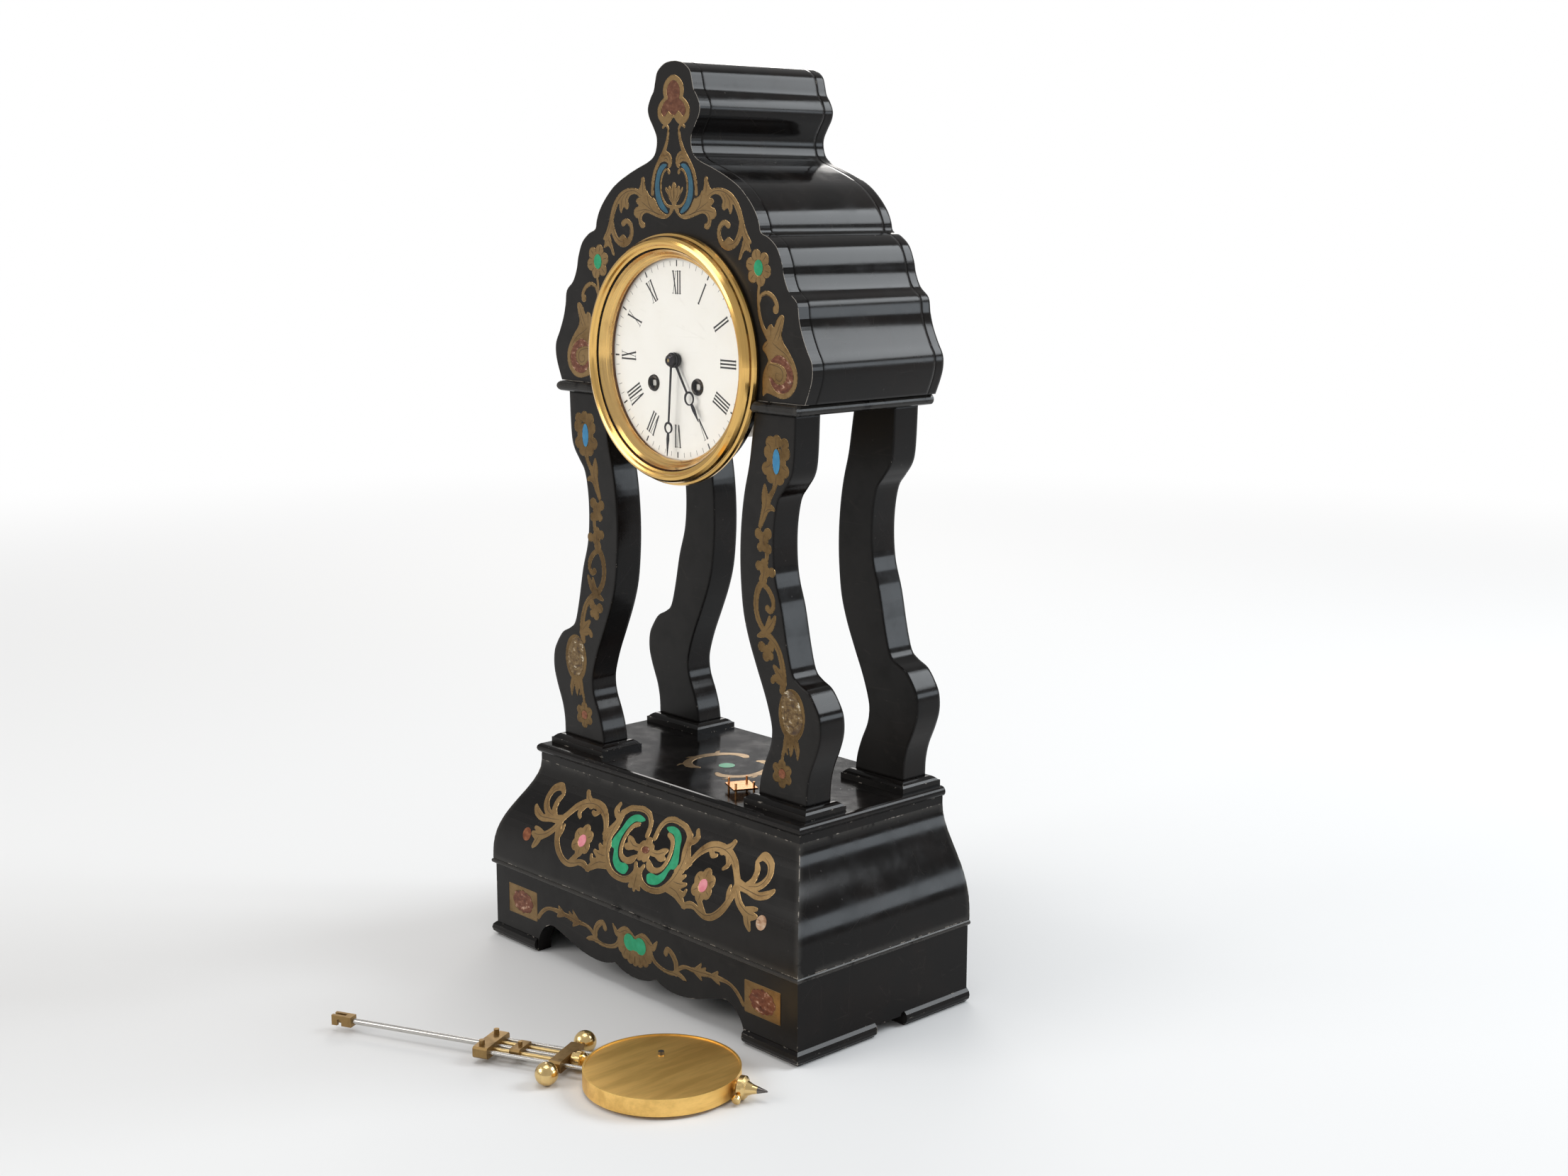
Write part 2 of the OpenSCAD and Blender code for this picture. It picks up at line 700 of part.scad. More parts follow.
// Outer barrels and pin of a vertical hinge
module hinge_barrels(x, y, z) {
    for (side = [-1, 1])
        translate([x, y, z + side * hinge_off])
            cylinder(r = hinge_r, h = hinge_barrel_h, center = true, $fn = 24);
    translate([x, y, z])
        cylinder(r = hinge_pin_r, h = 2 * hinge_off + hinge_barrel_h, center = true, $fn = 24);
}

// Fixed half of the bezel's hinge, its leaves flat on the front board
module bezel_hinge() {
    leaf = 4;
    leaf_t = 0.8;
    color(brass) {
        hinge_barrels(hinge_x, hinge_y, dial_z);
        for (side = [-1, 1])
            translate([hinge_x - leaf, board_y - leaf_t, dial_z + side * hinge_off - hinge_barrel_h / 2])
                cube([leaf, leaf_t, hinge_barrel_h]);
    }
}

// Brass ring and flange of the rear opening, with the fixed half of the door's hinge
module rear_ring() {
    color(brass) {
        translate([0, back_y, rear_z]) rotate([90, 0, 0]) rotate_extrude($fn = 96) polygon([
            [rear_open_r - rear_ring_t, back_board], [rear_open_r - nothing, back_board],
            [rear_open_r - nothing, 0], [rear_open_r + rear_flange, 0],
            [rear_open_r + rear_flange, -rear_flange_t], [rear_open_r - rear_ring_t, -rear_flange_t]
        ]);
        hinge_barrels(rear_hinge_x, rear_hinge_y, rear_z);
        for (side = [-1, 1])
            translate([rear_hinge_x, back_y, rear_z + side * hinge_off - hinge_barrel_h / 2])
                cube([rear_flange, rear_hinge_y - back_y - 0.5, hinge_barrel_h]);
    }
}

// Round rear door with a turned knob, its hinge strap and barrel
module rear_door() {
    out = rear_door_y + rear_door_t;
    knob_x = rear_door_r - 9;
    color(brass) {
        translate([0, out, rear_z]) rotate([90, 0, 0]) rotate_extrude($fn = 96) polygon([
            [0, 0.5], [rear_door_r - 5, 0.5], [rear_door_r - 4, 0], [rear_door_r - 0.8, 0],
            [rear_door_r, 0.6], [rear_door_r, rear_door_t], [0, rear_door_t]
        ]);
        translate([knob_x, out + 4.3, rear_z]) rotate([90, 0, 0]) rotate_extrude($fn = 32)
            polygon([[0, 0], [2, 0], [3, 1], [3, 2], [1.4, 3.2], [1.4, 5], [0, 5]]);
        difference() {
            union() {
                translate([rear_hinge_x, rear_hinge_y, rear_z])
                    cylinder(r = hinge_r, h = 2 * hinge_half, center = true, $fn = 24);
                translate([rear_hinge_x, rear_door_y, rear_z - hinge_half])
                    cube([-rear_hinge_x - rear_door_r + 1, rear_door_t, 2 * hinge_half]);
            }
            translate([rear_hinge_x, rear_hinge_y, rear_z])
                cylinder(r = hinge_pin_r + fit, h = 3 * hinge_half, center = true, $fn = 24);
        }
    }
}

// Two straps from the dial's ring back to hooks over the drum's rear edge
module movement_straps() {
    hook_t = 1.4;
    color(brass) both_sides() {
        translate([strap_in, shell_y, dial_z - 4]) cube([strap_t, drum_end_y - shell_y + hook_t, 8]);
        translate([strap_in, drum_end_y, dial_z - 4]) cube([drum_out - strap_in, hook_t, 8]);
    }
}

// Holes that both plates share
module plate_holes(y0, y1) {
    for (q = [inter_at, third_at, escape_at, pin_at, lock_at, fly_at])
        arbor(q, pivot_r + fit, y0, y1, 16);
}

// Front plate, with the stud of the minute wheel and the two clicks
module front_plate() {
    color(brass) {
        difference() {
            arbor([0, 0], plate_r, front_plate_y, inner_y, 96);
            plate_holes(front_plate_y - 1, inner_y + 1);
            arbor([0, 0], centre_arbor_r + fit, front_plate_y - 1, inner_y + 1);
            for (q = [going_at, strike_at]) arbor(q, winding_arbor_r + fit, front_plate_y - 1, inner_y + 1);
            for (q = [second_at, anchor_at, hammer_at])
                arbor(q, pivot_r + fit, front_plate_y - 1, inner_y + 1, 16);
        }
        arbor(minute_wheel_at, centre_arbor_r, front_plate_y - 6.2, front_plate_y + nothing);
    }
    color(steel) for (q = [going_at, strike_at])
        upright(front_plate_y - 2, front_plate_y)
            translate([q[0], dial_z + q[1]])
                polygon([[7.2, -3.4], [7, -0.4], [9.4, 5.6], [11.6, 5], [10.2, -1]]);
}

// Back plate
module back_plate() {
    color(brass) difference() {
        arbor([0, 0], plate_r, back_plate_y, rear_y, 96);
        plate_holes(back_plate_y - 1, rear_y + 1);
        arbor([0, 0], pivot_r + fit, back_plate_y - 1, rear_y + 1, 16);
        for (q = [going_at, strike_at]) arbor(q, pivot_r * 2 + fit, back_plate_y - 1, rear_y + 1, 16);
        for (q = [second_at, hammer_at]) arbor(q, arbor_r + fit, back_plate_y - 1, rear_y + 1, 16);
        arbor(anchor_at, 2.4, back_plate_y - 1, rear_y + 1, 24);
    }
}

// Four turned pillars that hold the plates apart
module plate_pillars() {
    color(brass) for (q = pillar_places)
        translate([q[0], back_plate_y, dial_z + q[1]]) rotate([90, 0, 0]) rotate_extrude($fn = 24)
            polygon([
                [0, 0], [2, 0], [2, 2.4], [1.3, 3.6], [1.3, 8], [1.8, 12], [1.3, 16],
                [1.3, plate_gap - 16], [1.8, plate_gap - 12], [1.3, plate_gap - 8],
                [1.3, plate_gap - 3.6], [2, plate_gap - 2.4], [2, plate_gap], [0, plate_gap]
            ]);
}

// Mainspring barrel with its great wheel, open round its arbor
module barrel(at, wheel_r) {
    cap = 1.2;
    front = inner_y + 0.8;
    color(brass) difference() {
        union() {
            arbor(at, wheel_r - 1.4, front, inner_y + great_in, 64);
            wheel(at, wheel_r, great_teeth, inner_y + great_in);
        }
        arbor(at, wheel_r - 2.8, front + cap, inner_y + great_in - cap, 64);
        arbor(at, winding_arbor_r + fit, front - 1, inner_y + great_in + wheel_t + 1);
    }
}

// Winding arbor with its ratchet wheel and its square for the key
module winding_arbor(at) {
    square_end = dial_y + 0.6;
    color(steel) {
        arbor(at, winding_arbor_r, front_plate_y - 3, inner_y + great_in + wheel_t + 1);
        arbor(at, winding_arbor_r * 0.8, inner_y + great_in + wheel_t, back_plate_y - 0.3);
        arbor(at, pivot_r * 2, back_plate_y - 1, rear_y, 16);
        translate([at[0] - winding_square / 2, square_end, dial_z + at[1] - winding_square / 2])
            cube([winding_square, front_plate_y - square_end, winding_square]);
        wheel(at, 6.6, 24, front_plate_y - 1.8, wheel_t, 0, 0.15);
    }
}

module going_barrel() barrel(going_at, great_r);
module strike_barrel() barrel(strike_at, strike_great_r);
module going_arbor() winding_arbor(going_at);
module strike_arbor() winding_arbor(strike_at);

// Brass collet that holds a wheel on its arbor
module collet(at, plane) {
    arbor(at, 2, inner_y + plane - 0.8, inner_y + plane + wheel_t + 0.5, 20);
}

// Intermediate wheel: driven by the great wheel, drives the centre
module intermediate_wheel() {
    color(brass) {
        wheel(inter_at, inter_r, inter_teeth, inner_y + inter_in, wheel_t, 5);
        collet(inter_at, inter_in);
    }
    color(steel) {
        train_arbor(inter_at);
        pinion(inter_at, pinion_share(going_at, inter_at, great_ratio), great_leaves,
            inner_y + great_in - 0.6, inner_y + great_in + wheel_t + 0.6);
    }
}

// Centre wheel on the arbor that carries the minute hand
module centre_wheel() {
    color(brass) {
        wheel([0, 0], centre_r, centre_teeth, inner_y + centre_in, wheel_t, 5);
        collet([0, 0], centre_in);
    }
    color(steel) {
        arbor([0, 0], centre_arbor_r, minute_hand_y - hand_t - 1.8, back_plate_y - 0.3);
        arbor([0, 0], pivot_r, back_plate_y - 1, rear_y, 16);
        pinion([0, 0], pinion_share(inter_at, [0, 0], inter_ratio), inter_leaves,
            inner_y + inter_in - 0.6, inner_y + inter_in + wheel_t + 0.6);
    }
}

// A small train wheel, with its pinion in the plane of the wheel that drives it
module train_wheel(at, r, teeth, plane, drive_r, leaves, drive_plane, lean = 0.5) {
    color(brass) {
        wheel(at, r, teeth, inner_y + plane, wheel_t, 4, lean);
        collet(at, plane);
    }
    color(steel) {
        train_arbor(at);
        pinion(at, drive_r, leaves, inner_y + drive_plane - 0.6, inner_y + drive_plane + wheel_t + 0.6);
    }
}

module third_wheel()
    train_wheel(third_at, third_r, third_teeth, third_in,
        pinion_share([0, 0], third_at, centre_ratio), centre_leaves, centre_in);

module escape_wheel()
    train_wheel(escape_at, escape_r, escape_teeth, escape_in,
        pinion_share(third_at, escape_at, third_ratio), third_leaves, third_in, 0.15);

// Second wheel of the striking train, its arbor drawn out behind for the count wheel
module strike_wheel() {
    train_wheel(second_at, second_r, second_teeth, inter_in,
        pinion_share(strike_at, second_at, great_ratio), great_leaves, great_in);
    color(steel) arbor(second_at, arbor_r, back_plate_y - 0.5, rear_y + 2.2, 16);
}

module locking_wheel()
    train_wheel(lock_at, lock_r, lock_teeth, third_in,
        pinion_share(pin_at, lock_at, pin_ratio), pin_leaves, centre_in);

// Pin wheel: ten pins lift the hammer's tail
module pin_wheel() {
    pins = 10;
    pin_y = inner_y + centre_in;
    train_wheel(pin_at, pin_r, pin_teeth, centre_in,
        pinion_share(second_at, pin_at, second_ratio), second_leaves, inter_in);
    color(steel) for (k = [0 : pins - 1]) let(a = 360 * k / pins)
        arbor(pin_at + 0.78 * pin_r * [cos(a), sin(a)], 0.45, pin_y, pin_y + wheel_t + 2.2, 16);
}

// Fly with its two vanes, which slows the striking
module fly() {
    vane_half = 4.4;
    color(steel) {
        train_arbor(fly_at, 0.8);
        pinion(fly_at, pinion_share(lock_at, fly_at, lock_ratio), lock_leaves,
            inner_y + third_in - 0.6, inner_y + third_in + wheel_t + 0.6);
    }
    color(brass) translate([fly_at[0] - vane_half, inner_y + 3, dial_z + fly_at[1] - 0.4])
        cube([2 * vane_half, great_in - 5, 0.8]);
}

// Count wheel, with its notches at one to twelve strokes and the halves between
module count_wheel() {
    r = 12.4;
    steps = 90;
    stroke_sum = [for (n = [0 : 11]) (n + 1) * (n + 2) / 2 + n];
    color(brass) translate([second_at[0], rear_y + 2, dial_z + second_at[1]])
        rotate([90, 0, 0]) linear_extrude(1.2) difference() {
            circle(r = r, $fn = 72);
            circle(r = arbor_r, $fn = 16);
            for (n = [0 : 11]) rotate(360 * stroke_sum[n] / steps)
                translate([r - 1, -0.5]) square([2, 1]);
        }
}

// Anchor over the escape wheel, its arbor and the crutch with its fork
module anchor_and_crutch() {
    plane = inner_y + escape_in;
    fork_gap = stem_r + 0.35;
    color(steel) {
        arbor(anchor_at, arbor_r, inner_y + 0.3, crutch_y + 1.2, 16);
        arbor(anchor_at, pivot_r, front_plate_y, cock_y + cock_t - 0.3, 16);
        upright(plane - 0.2, plane + wheel_t + 0.2) translate([0, dial_z + anchor_at[1]])
            polygon([[-8, -1.6], [-6.8, 1.2], [-2, 2.4], [2, 2.4], [6.8, 1.2], [8, -1.6], [7.8, -4.6],
                [6.7, -4.2], [6, -1.8], [2.4, -0.6], [-2.4, -0.6], [-6, -1.8], [-6.7, -4.2], [-7.8, -4.6]]);
    }
    color(brass) {
        arbor(anchor_at, 2, crutch_y, crutch_y + 1.6, 24);
        translate([-1, crutch_y, dial_z + anchor_at[1] - crutch_len]) cube([2, 1.2, crutch_len]);
        translate([-fork_gap - 1, crutch_y, dial_z + anchor_at[1] - crutch_len - 1])
            cube([2 * fork_gap + 2, 1.2, 2]);
        both_sides() translate([fork_gap, crutch_y, dial_z + anchor_at[1] - crutch_len - 1])
            cube([1, hang_y + 2.4 - crutch_y, 2]);
    }
}

// Cock behind the back plate: carries the anchor's rear pivot and the suspension
module back_cock() {
    half = 11.5;
    leg = 5;
    low = anchor_at[1] - 3.4;
    high = anchor_at[1] + 2.4;
    stud_low = spring_top + 0.05;
    color(brass) {
        both_sides() translate([half - leg, rear_y, dial_z + low])
            cube([leg, cock_y - rear_y + 0.1, high - low]);
        difference() {
            translate([-half, cock_y, dial_z + low]) cube([2 * half, cock_t, high - low]);
            arbor(anchor_at, pivot_r + fit, cock_y - 1, cock_y + cock_t + 1, 16);
        }
        translate([-2.6, cock_y + cock_t - 0.1, dial_z + stud_low])
            cube([5.2, hang_y + 2 - cock_y - cock_t, high - stud_low]);
    }
    color(steel) both_sides() translate([half - leg / 2, cock_y + cock_t + 1, dial_z + (low + high) / 2])
        rotate([90, 0, 0]) cylinder(r = 1.7, h = 1.1, $fn = 24);
}

// Suspension spring with its lower chop and the cross pin that takes the pendulum's hook
module suspension() {
    color(steel) {
        translate([-0.12, hang_y - 1.6, dial_z + hang_up]) cube([0.24, 3.2, spring_top - hang_up]);
        translate([-3, hang_y, dial_z + hang_up]) rotate([0, 90, 0]) cylinder(r = 0.75, h = 6, $fn = 16);
    }
    color(brass) translate([-0.8, hang_y - 1.9, dial_z + hang_up - 1.8]) cube([1.6, 3.8, 4.6]);
}

// Hammer: arbor, tail for the pins, arm and head beside the bell
module hammer() {
    head_r = 2.6;
    head_angle = 19.3;
    head_at = [0, bell_up] - (bell_r + head_r + 0.67) * [cos(head_angle), sin(head_angle)];
    tail_y = inner_y + centre_in + wheel_t + 0.7;
    arm = rear_y + 0.5;
    color(steel) {
        arbor(hammer_at, arbor_r, inner_y + 0.3, arm + 1.6, 16);
        arbor(hammer_at, pivot_r, front_plate_y, rear_y, 16);
        upright(tail_y, tail_y + 1.3) bar_between(hammer_at, hammer_at + [11.6, 10.9], 1.6);
        upright(arm, arm + 1.4) bar_between(hammer_at, head_at, 2.4);
        arbor(head_at, 1, arm + 1, bell_y + 1, 16);
    }
    color(brass) arbor(head_at, head_r, bell_y - 1, bell_y + 5);
}

// Flat bar with round ends between two places across the plates
module bar_between(a, b, w) {
    d = b - a;
    for (q = [a, b]) translate([q[0], dial_z + q[1]]) circle(r = w / 2, $fn = 20);
    translate([a[0], dial_z + a[1]]) rotate(atan2(d[1], d[0])) translate([0, -w / 2]) square([norm(d), w]);
}

// Dished bell
module bell() {
    color("#c9a65a") translate([0, bell_y, dial_z + bell_up]) rotate([-90, 0, 0]) rotate_extrude($fn = 64)
        polygon([
            [bell_r, 0], [bell_r - 0.6, bell_deep * 0.25], [bell_r - 3, bell_deep * 0.58],
            [bell_r - 9, bell_deep * 0.88], [bell_r - 18, bell_deep], [stud_r + fit, bell_deep],
            [stud_r + fit, bell_deep - bell_t], [bell_r - 18.4, bell_deep - bell_t],
            [bell_r - 9.8, bell_deep * 0.88 - bell_t], [bell_r - 4.2, bell_deep * 0.58 - bell_t * 0.8],
            [bell_r - 1.8, bell_deep * 0.25 - bell_t * 0.2], [bell_r - bell_t, 0]
        ]);
}

// Bent stand of the bell, with its stud and nut
module bell_stand() {
    foot = [22, -26];
    bar_y = bell_y - 2.4;
    color(steel) {
        arbor(foot, 2.2, rear_y, bar_y + 1, 24);
        upright(bar_y, bar_y + 1.5) bar_between(foot, [0, bell_up], 4.4);
        arbor([0, bell_up], stud_r, bar_y, bell_y + bell_deep + 2.4, 24);
        arbor([0, bell_up], 3.4, bell_y + bell_deep, bell_y + bell_deep + 1.8, 6);
        arbor([0, bell_up], 3.4, bar_y + 1.4, bell_y + bell_deep - bell_t, 24);
    }
}

// Minute wheel of the motion work, on its stud
module minute_wheel() {
    plane = front_plate_y - 2.4;
    color(brass) difference() {
        union() {
            wheel(minute_wheel_at, minute_wheel_r, minute_teeth, plane, 1.1);
            pinion(minute_wheel_at, minute_pinion_r, minute_leaves, plane - 3.8, plane + nothing);
        }
        arbor(minute_wheel_at, centre_arbor_r + fit, plane - 5, plane + 3);
    }
}

// Hollow pipe along the centre line
module pipe(r_out, r_in, y0, y1) {
    difference() {
        arbor([0, 0], r_out, y0, y1, 32);
        arbor([0, 0], r_in, y0 - 1, y1 + 1, 32);
    }
}

// Outline of a hand with a pierced moon near its tip, pointing to twelve
module hand_outline(len, moon_at, moon_r, w) {
    hole = moon_r - 0.9;
    difference() {
        union() {
            circle(r = collet_r * 0.8, $fn = 32);
            polygon([[-w / 2, 0], [-w * 0.36, moon_at - moon_r + 0.3],
                [w * 0.36, moon_at - moon_r + 0.3], [w / 2, 0]]);
            translate([0, moon_at]) circle(r = moon_r, $fn = 40);
            polygon([[-w * 0.5, moon_at + moon_r - 0.5], [-w * 0.75, moon_at + moon_r + 3], [0, len],
                [w * 0.75, moon_at + moon_r + 3], [w * 0.5, moon_at + moon_r - 0.5]]);
        }
        translate([0, moon_at + 0.25]) circle(r = hole, $fn = 40);
    }
}

// A hand lying in front of the dial, turned clockwise from twelve, with its bore
module hand(at_deg, y, bore, len, moon_at, moon_r, w) {
    translate([0, y, dial_z]) rotate([0, at_deg, 0]) rotate([90, 0, 0]) linear_extrude(hand_t) difference() {
        hand_outline(len, moon_at, moon_r, w);
        circle(r = bore, $fn = 32);
    }
}

// Hour hand with its pipe and hour wheel
module hour_hand() {
    plane = front_plate_y - 6;
    moon_at = 22.6;
    moon_r = 3.7;
    color("#2a2523") {
        hand(hour_at, hour_hand_y, hour_pipe_r - nothing, hour_len, moon_at, moon_r, 1.5);
        pipe(collet_r, hour_pipe_r - nothing, hour_hand_y - 0.1, hour_hand_y + 0.9);
    }
    color(brass) {
        pipe(hour_pipe_r, cannon_r + fit, hour_hand_y - hand_t - 0.3, plane + 1);
        difference() {
            wheel([0, 0], hour_wheel_r, hour_teeth, plane, 1);
            arbor([0, 0], hour_pipe_r - nothing, plane - 1, plane + 2, 32);
        }
    }
}

// Minute hand with its cannon pinion
module minute_hand() {
    moon_at = 35.4;
    moon_r = 3.1;
    low = front_plate_y - 0.5;
    color("#2a2523") {
        hand(minute_at, minute_hand_y, cannon_r - nothing, minute_len, moon_at, moon_r, 1.3);
        pipe(collet_r, cannon_r - nothing, minute_hand_y - 0.1, minute_hand_y + 0.5);
    }
    color(steel) {
        pipe(cannon_r, centre_arbor_r + fit, minute_hand_y - hand_t - cannon_end, low);
        difference() {
            pinion([0, 0], cannon_pinion_r, cannon_leaves, low - 2.4, low);
            arbor([0, 0], cannon_r - nothing, low - 4, low + 1, 32);
        }
    }
}

// Domed nut that holds the hands
module hand_nut() {
    back = minute_hand_y - hand_t;
    color("#2a2523") translate([0, back, dial_z]) rotate([90, 0, 0]) difference() {
        rotate_extrude($fn = 32) polygon([
            [cannon_r + nothing, 0], [3.2, 0], [3.2, 1], [2.6, 1.8], [1.7, 2.3],
            [centre_arbor_r + fit, 2.3], [centre_arbor_r + fit, cannon_end + nothing],
            [cannon_r + nothing, cannon_end + nothing]
        ]);
    }
}

// Places a piece along the lying pendulum: X along it, Z up
module lying() {
    translate([hook_x, hook_y, axis_z]) rotate([0, 0, lying_at]) children();
}

// Rod along the pendulum, between two distances from the hook's tip
module rod(x0, x1, y, r, fn = 16) {
    translate([x0, y, 0]) rotate([0, 90, 0]) cylinder(r = r, h = x1 - x0, $fn = fn);
}

// Hook block, slit for the suspension and hooked for its pin, drilled for the single rod
module pendulum_hook() {
    half = 2.7;
    color("#a5762f") lying() difference() {
        translate([0, -half, -half]) cube([hook_block, 2 * half, 2 * half]);
        translate([-1, -0.95, -half - 1]) cube([8.5, 1.9, 2 * half + 2]);
        translate([4, 0, 0]) rotate([90, 0, 0]) cylinder(r = 0.85, h = 3 * half, center = true, $fn = 20);
        translate([3.15, -half - 1, -half - 1]) cube([2.6, 2 * half + 2, half + 1]);
        rod(hook_block - 2.5 - nothing, hook_block + 1, 0, stem_r + nothing, 20);
    }
}

// A crossbar of the gridiron with bevelled edges, drilled by what is passed to it
module crossbar(at, w, half, t) {
    edge = 1;
    difference() {
        translate([at - w / 2, 0, 0]) rotate([90, 0, 90]) linear_extrude(w) polygon([
            [-half, edge - t / 2], [edge - half, -t / 2], [half - edge, -t / 2], [half, edge - t / 2],
            [half, t / 2 - edge], [half - edge, t / 2], [edge - half, t / 2], [-half, t / 2 - edge]
        ]);
        children();
    }
}

// The three crossbars with their pins
module pendulum_crossbars() {
    bar_t = 6;
    color("#a5762f") lying() {
        crossbar(upper_bar_at, 8, 11.8, bar_t) {
            rod(stem_end - 1, stem_end + 1 + nothing, 0, stem_r + nothing, 20);
            for (k = [-2 : 2]) rod(upper_bar_at, upper_bar_at + 5, k * rod_pitch, rod_r + nothing);
        }
        crossbar(middle_bar_at, 5.4, 6.8, bar_t - 1)
            for (k = [-1 : 1]) rod(middle_bar_at - 4, middle_bar_at + 4, k * rod_pitch, rod_r + nothing);
        crossbar(lower_bar_at, lower_bar_w, lower_bar_half, bar_t)
            for (k = [-2 : 2]) rod(lower_bar_at - 4, lower_bar_at + 4, k * rod_pitch, rod_r + nothing);
    }
    color(steel) lying() {
        for (y = [-7.4, 7.4]) translate([upper_bar_at - 1, y, bar_t / 2 - 0.4])
            cylinder(r = 1.4, h = 2.8, $fn = 20);
        translate([middle_bar_at, 0, bar_t / 2 - 1]) cylinder(r = 1.1, h = 2.4, $fn = 20);
    }
}

// Where a rod meets the bob's edge
function bob_top(k) = bob_at - sqrt(pow(bob_r, 2) - pow(k * rod_pitch, 2));

// The single steel rod and three thinner ones: the outer two run on into the bob,
// the middle one to the rating nut
module pendulum_steel_rods() {
    color("#c9ccd0") lying() {
        for (k = [-2, 2]) rod(upper_bar_at, bob_top(k) + rod_in, k * rod_pitch, rod_r);
        rod(upper_bar_at, bob_top(0), 0, rod_r);
        rod(hook_block - 2.5, stem_end + 1, 0, stem_r, 20);
    }
}

// Two brass rods between the upper and the lower crossbar
module pendulum_brass_rods() {
    color("#d8b355") lying() for (k = [-1, 1])
        rod(upper_bar_at, lower_bar_at + lower_bar_w / 2 - 0.8, k * rod_pitch, rod_r);
}

// Two balls on necks at the ends of the lower crossbar
module pendulum_balls() {
    color("#c69a3d") lying() for (side = [-1, 1]) translate([lower_bar_at, side * ball_off, 0])
        rotate([side * 90, 0, 0]) rotate_extrude($fn = 40) ball_section();
}

// Half section of a ball and its neck, the neck up
module ball_section() {
    neck_r = 1.4;
    neck_end = ball_off - lower_bar_half;
    lift = sqrt(pow(ball_r, 2) - pow(neck_r, 2));
    polygon(concat(
        [for (a = [-90 : 7.5 : 69]) ball_r * [cos(a), sin(a)]],
        [[neck_r, lift], [neck_r, neck_end - 1.2], [neck_r + 0.6, neck_end - 0.6],
         [neck_r + 0.6, neck_end], [0, neck_end]]));
}

// Thick disc with a raised rim, drilled for the outer rods
module pendulum_bob() {
    rim = 1;
    dish = 0.5;
    color("#c79a45") lying() difference() {
        union() {
            translate([bob_at, 0, -bob_t / 2]) rotate_extrude($fn = 96) polygon([
                [0, dish], [bob_r - rim, dish], [bob_r - rim, 0], [bob_r, 0], [bob_r, bob_t],
                [bob_r - rim, bob_t], [bob_r - rim, bob_t - dish], [0, bob_t - dish]
            ]);
            translate([bob_at - 6, 12, bob_t / 2 - dish - 0.1]) cylinder(r = 1.5, h = 2.2, $fn = 20);
        }
        for (k = [-2, 2]) rod(bob_at - bob_r - 2, bob_top(k) + rod_in + 2, k * rod_pitch, rod_r + fit);
        rod(bob_at - bob_r - 2, bob_top(0) + 4, 0, rod_r + fit);
    }
}

// Knurled rating nut with its collar
module rating_nut() {
    color("#c79a45") lying() translate([nut_at, 0, 0]) rotate([0, 90, 0]) difference() {
        rotate_extrude($fn = 40) polygon([
            [rod_r + fit, -4.3], [2.8, -4.3], [3.3, -3.6], [3.3, -1.6], [4.4, -1.3], [4.4, 1.3],
            [3.3, 1.6], [3.8, 2.6], [2.4, 3.8], [rod_r + fit, 3.8]
        ]);
    }
}

// Turned finial below the bob, with its thumb screw and steel point
module bob_finial() {
    ring_r = ball_r;
    seat_y = 1.2;
    color("#c79a45") lying() difference() {
        union() {
            translate([bob_end - seat_y, 0, 0]) rotate([0, 90, 0]) rotate_extrude($fn = 32) polygon([
                [0, 0], [2.6, 0], [2.6, 2.2], [ring_r - 1.5, 2.6], [ring_r, 3.6], [ring_r, 6],
                [ring_r - 1.2, 7], [3.6, 7.4], [2.4, 10.2], [1.8, 12.5], [0, 12.5]
            ]);
            translate([bob_end + 3.6, 0, 0]) rotate([110, 0, 0]) rotate_extrude($fn = 24)
                polygon([[0, 4], [0.9, 4], [0.9, 7.4], [2.2, 7.8], [2.2, 9.4], [1.6, 9.8], [0, 9.8]]);
        }
        translate([bob_at, 0, -bob_t]) cylinder(r = bob_r, h = 2 * bob_t, $fn = 96);
    }
    color(steel) lying() translate([point_at, 0, 0]) rotate([0, 90, 0])
        cylinder(r1 = 1.8, r2 = 0.4, h = pendulum_len - point_at, $fn = 24);
}

// Small loose brass plate that stands on its four pins on the base
module loose_plate() {
    size = [15.4, 13.2, 0.9];
    leg = 2.8;
    pin_top = 6.7;
    beside_block = 16;
    before_block = 1.5;
    at = [column_x - block_w / 2 - beside_block, front_block_y - before_block, block_z];
    color("#cf9a4a") translate(at) rotate([0, 0, -24]) {
        translate([-size[0] / 2, -size[1] / 2, leg]) cube(size);
        for (x = [-1, 1], y = [-1, 1])
            translate([x * (size[0] / 2 - 1.6), y * (size[1] / 2 - 1.6), 0])
                cylinder(r = 0.6, h = pin_top, $fn = 16);
    }
}

plinth();
foot_strips();
bead_strip();
ogee_base();
base_plate();
column_blocks();
front_left_column();
front_right_column();
rear_left_column();
rear_right_column();
head_sill();
head_front();
head_shell();
head_back();
movement_drum();
dial_surround();
dial_plate();
dial();
winding_grommets();
bezel_hinge();
bezel();
bezel_glass();
rear_ring();
rear_door();
movement_straps();
front_plate();
back_plate();
plate_pillars();
going_barrel();
going_arbor();
strike_barrel();
strike_arbor();
intermediate_wheel();
centre_wheel();
third_wheel();
escape_wheel();
strike_wheel();
count_wheel();
pin_wheel();
locking_wheel();
fly();
anchor_and_crutch();
back_cock();
suspension();
hammer();
bell();
bell_stand();
minute_wheel();
hour_hand();
minute_hand();
hand_nut();
pendulum_hook();
pendulum_crossbars();
pendulum_steel_rods();
pendulum_brass_rods();
pendulum_balls();
pendulum_bob();
rating_nut();
bob_finial();
loose_plate();
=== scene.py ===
"""Finishes, inlay, dial writing, lamps and camera of a portico table clock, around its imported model."""

import json
import math

import bmesh
import bpy
import numpy as np
from mathutils import Matrix, Vector


